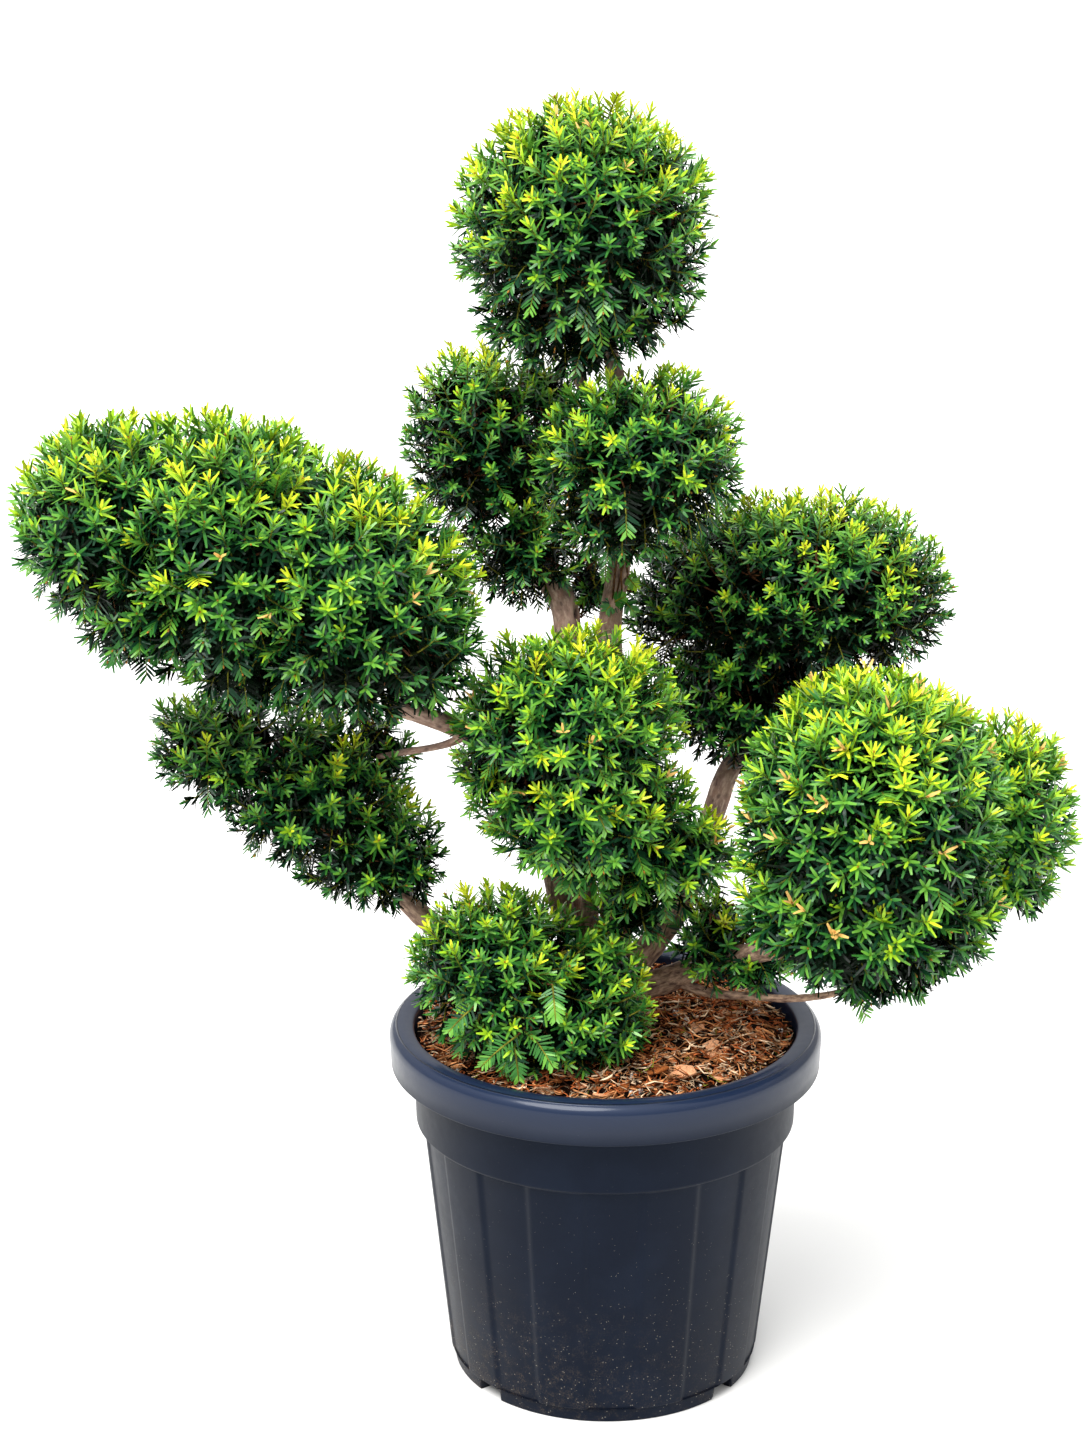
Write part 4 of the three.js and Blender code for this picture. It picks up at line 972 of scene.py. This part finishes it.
for index, (name, mass) in enumerate(MASSES.items()):
    lobes = np.array(mass["lobes"], float)
    needles = []
    stems = [[] for _ in LAYERS]
    buds = []
    for number, layer in enumerate(LAYERS):
        seed, tip, way, normal, _ = shoot_seats(
            name, index + 20 * number, layer["spacing"], layer["depth"], layer["ragged"])
        rise = way[:, 2]
        under = 1 - smooth_step(rise, -0.75, -0.15)
        is_spray = seeded(seed, 8) < SPRAYS_ABOVE + (SPRAYS_UNDER - SPRAYS_ABOVE) * under
        lift = SHOOT_LIFT * (1 - np.abs(rise))
        axis = unit(normal + lift[:, None] * up + 0.8 * strays(seed, 21))
        outward = unit(way * level + 1e-6)
        hanging = unit(0.6 * outward - 0.8 * up + 0.5 * strays(seed, 24))
        axis = unit(axis + (under * is_spray)[:, None] * (hanging - axis))
        face = unit(up + 1.3 * under[:, None] * outward + 0.3 * strays(seed, 27))
        # A shoot's tone: freshness at random and in lumps, plus painted light: lighter towards the crown by
        # the fall, darker in deeper layers and underneath
        fresh_and_lit = FRESH_AND_LIT_LEAST + mass["fresh_and_lit"] - layer["shade"] + mass["fresh_and_lit_fall"] * rise
        fresh_and_lit = fresh_and_lit + 0.08 * lumps(tip, 45, 6) + (0.45 - 0.3 * under) * seeded(seed, 11) ** 4
        dried = (seeded(seed, 13) < mass.get("dried", 0) * (rise > -0.1)) & (number == 0)
        for kind in (BRUSH, SPRAY):
            of_kind = is_spray == (kind is SPRAY)
            length = kind["length"] * (0.75 + 0.4 * seeded(seed, 10))[of_kind]
            curl = kind["curl"] * up * np.ones((of_kind.sum(), 1))
            needles.append(grow_needles(
                kind, seed[of_kind], tip[of_kind], axis[of_kind], face[of_kind], curl, length,
                mass["needle"], fresh_and_lit[of_kind], dried[of_kind]))
            stems[number].append(along_stem(tip[of_kind], axis[of_kind], curl, length, STEM_SHARES))
        has_bud = seeded(seed, 12) < BUD_SHARE
        buds.append(np.stack([tip, tip + 1.5 * axis, tip + 3.5 * axis], axis=1)[has_bud])

    # Long flat sprays that hang or stand clear of the mass, and sprouts on its bare limb. Each has a
    # tip, a heading, its length, its needles' length, and how fresh it is
    hung = np.array(mass.get("feathers", []), float).reshape(-1, 9)
    seed = 900000 + 100 * index + np.arange(len(hung))
    tip, axis, length = hung[:, :3], unit(hung[:, 3:6]), hung[:, 6]
    curl = FEATHER["curl"] * up * np.ones_like(axis)
    face = towards_viewer + 0.4 * strays(seed, 31)
    needles.append(grow_needles(
        FEATHER, seed, tip, axis, face, curl, length, hung[:, 7:8], hung[:, 8], np.zeros(len(hung), bool)))
    stems[0].append(along_stem(tip, axis, curl, length, STEM_SHARES))

    parts = [np.concatenate(part) for part in zip(*needles)]
    for number, tone in enumerate(TINTS):
        own = parts[6] == number
        if own.any():
            blades = blade_mesh(*[part[own] for part in parts[:6]])
            make_piece(f"{name}_needles_{tone}", blades, needle_finishes[number], [name])

    # Wood: this year's green stems and the browned older ones that carry the needles, their buds, the
    # twigs from the forks to them, and the branches from the lobes' middles to the forks
    green_stems = np.concatenate(stems[0])
    brown_stems = np.concatenate(stems[1] + stems[2])
    for kind, rows, finish in (("green", green_stems, stem_finish), ("brown", brown_stems, twig_finish)):
        make_piece(f"{name}_shoots_{kind}", tube_skins(rows, STEM_RADII, 3), finish, [name])
    bud_skins = tube_skins(np.concatenate(buds), BUD_RADII, 4)
    make_piece(name + "_buds", bud_skins, bud_finish, [name])
    feet = np.concatenate([green_stems, brown_stems])[:, 0]
    _, forks, _, _, lobe_number = shoot_seats(name, index + 80, FORK_SPACING, FORK_DEPTH, 0)
    joins = np.concatenate([lobes[:, :3], forks])
    nearest = np.linalg.norm(feet[:, None] - joins, axis=-1).argmin(axis=1)
    counter = np.arange(len(feet)) + 5000 * index
    grow_twigs(name + "_twigs", joins[nearest], feet, 14 * strays(counter, 3), TWIG_RADII)
    from_lobe = np.concatenate([np.zeros(len(lobes) - 1, int), lobe_number.astype(int)])
    aside = 20 * strays(np.arange(len(from_lobe)) + 700 * index, 6)
    grow_twigs(name + "_branches", lobes[from_lobe, :3], joins[1:], aside, BRANCH_RADII)

    # Painted shade: a near-black, lumpy shell inside each lobe stands for the dark inside of the mass,
    # where old needles and litter lie too deep for light to get through
    radii = np.maximum(lobes[:, 3:] - HEART_DEPTH, HEART_LEAST_SHARE * lobes[:, 3:])
    hearts = lobes[:, None, None, :3] + ball * radii[:, None, None]
    hearts = hearts + ball * (6 * lumps(hearts, 12, 5))[..., None]
    make_piece(name + "_inner", closed_skins(hearts), painted_shade_finish, [name])


# Floor and light: a pale floor that runs out of sight, one large soft light from above and in front,
# and a bright room all round.
FLOOR_HALF = 60000
FLOOR_COLOUR = 0xE6E5E2
SKY = 0xF4F5F7
SKY_STRENGTH = 2.0
HORIZON_SHARE = 0.22
SUN_STRENGTH = 4.2
SUN_SOFT_DEG = 38
SUN_TILT_DEG = (28, -18, 0)

plain_floor, tree = new_material("pale_floor")
lay_finish(tree, {"Base Color": linear(FLOOR_COLOUR), "Roughness": 0.9, "Specular IOR Level": 0.2})
floor_mesh = bpy.data.meshes.new("floor")
half = FLOOR_HALF * MM
floor_corners = [(-half, -half, 0), (half, -half, 0), (half, half, 0), (-half, half, 0)]
floor_mesh.from_pydata(floor_corners, [], [(0, 1, 2, 3)])
floor_mesh.materials.append(plain_floor)
floor = bpy.data.objects.new("floor", floor_mesh)
scene.collection.objects.link(floor)

sun_light = bpy.data.lights.new("sun", "SUN")
sun_light.energy = SUN_STRENGTH
sun_light.angle = math.radians(SUN_SOFT_DEG)
sun = bpy.data.objects.new("sun", sun_light)
sun.rotation_euler = [math.radians(angle) for angle in SUN_TILT_DEG]
scene.collection.objects.link(sun)

world = bpy.data.worlds.new("studio")
world.use_nodes = True
tree = world.node_tree
way_up = add(tree, "SeparateXYZ", {"Vector": add(tree, "TexCoord").outputs["Generated"]}).outputs["Z"]
glow = add(tree, "MapRange", {
    "Value": way_up, "From Max": 0.9, "To Min": HORIZON_SHARE * SKY_STRENGTH, "To Max": SKY_STRENGTH})
background = tree.nodes["Background"]
background.inputs["Color"].default_value = linear(SKY)
tree.links.new(glow.outputs[0], background.inputs["Strength"])
scene.world = world
scene.view_settings.view_transform = "Standard"
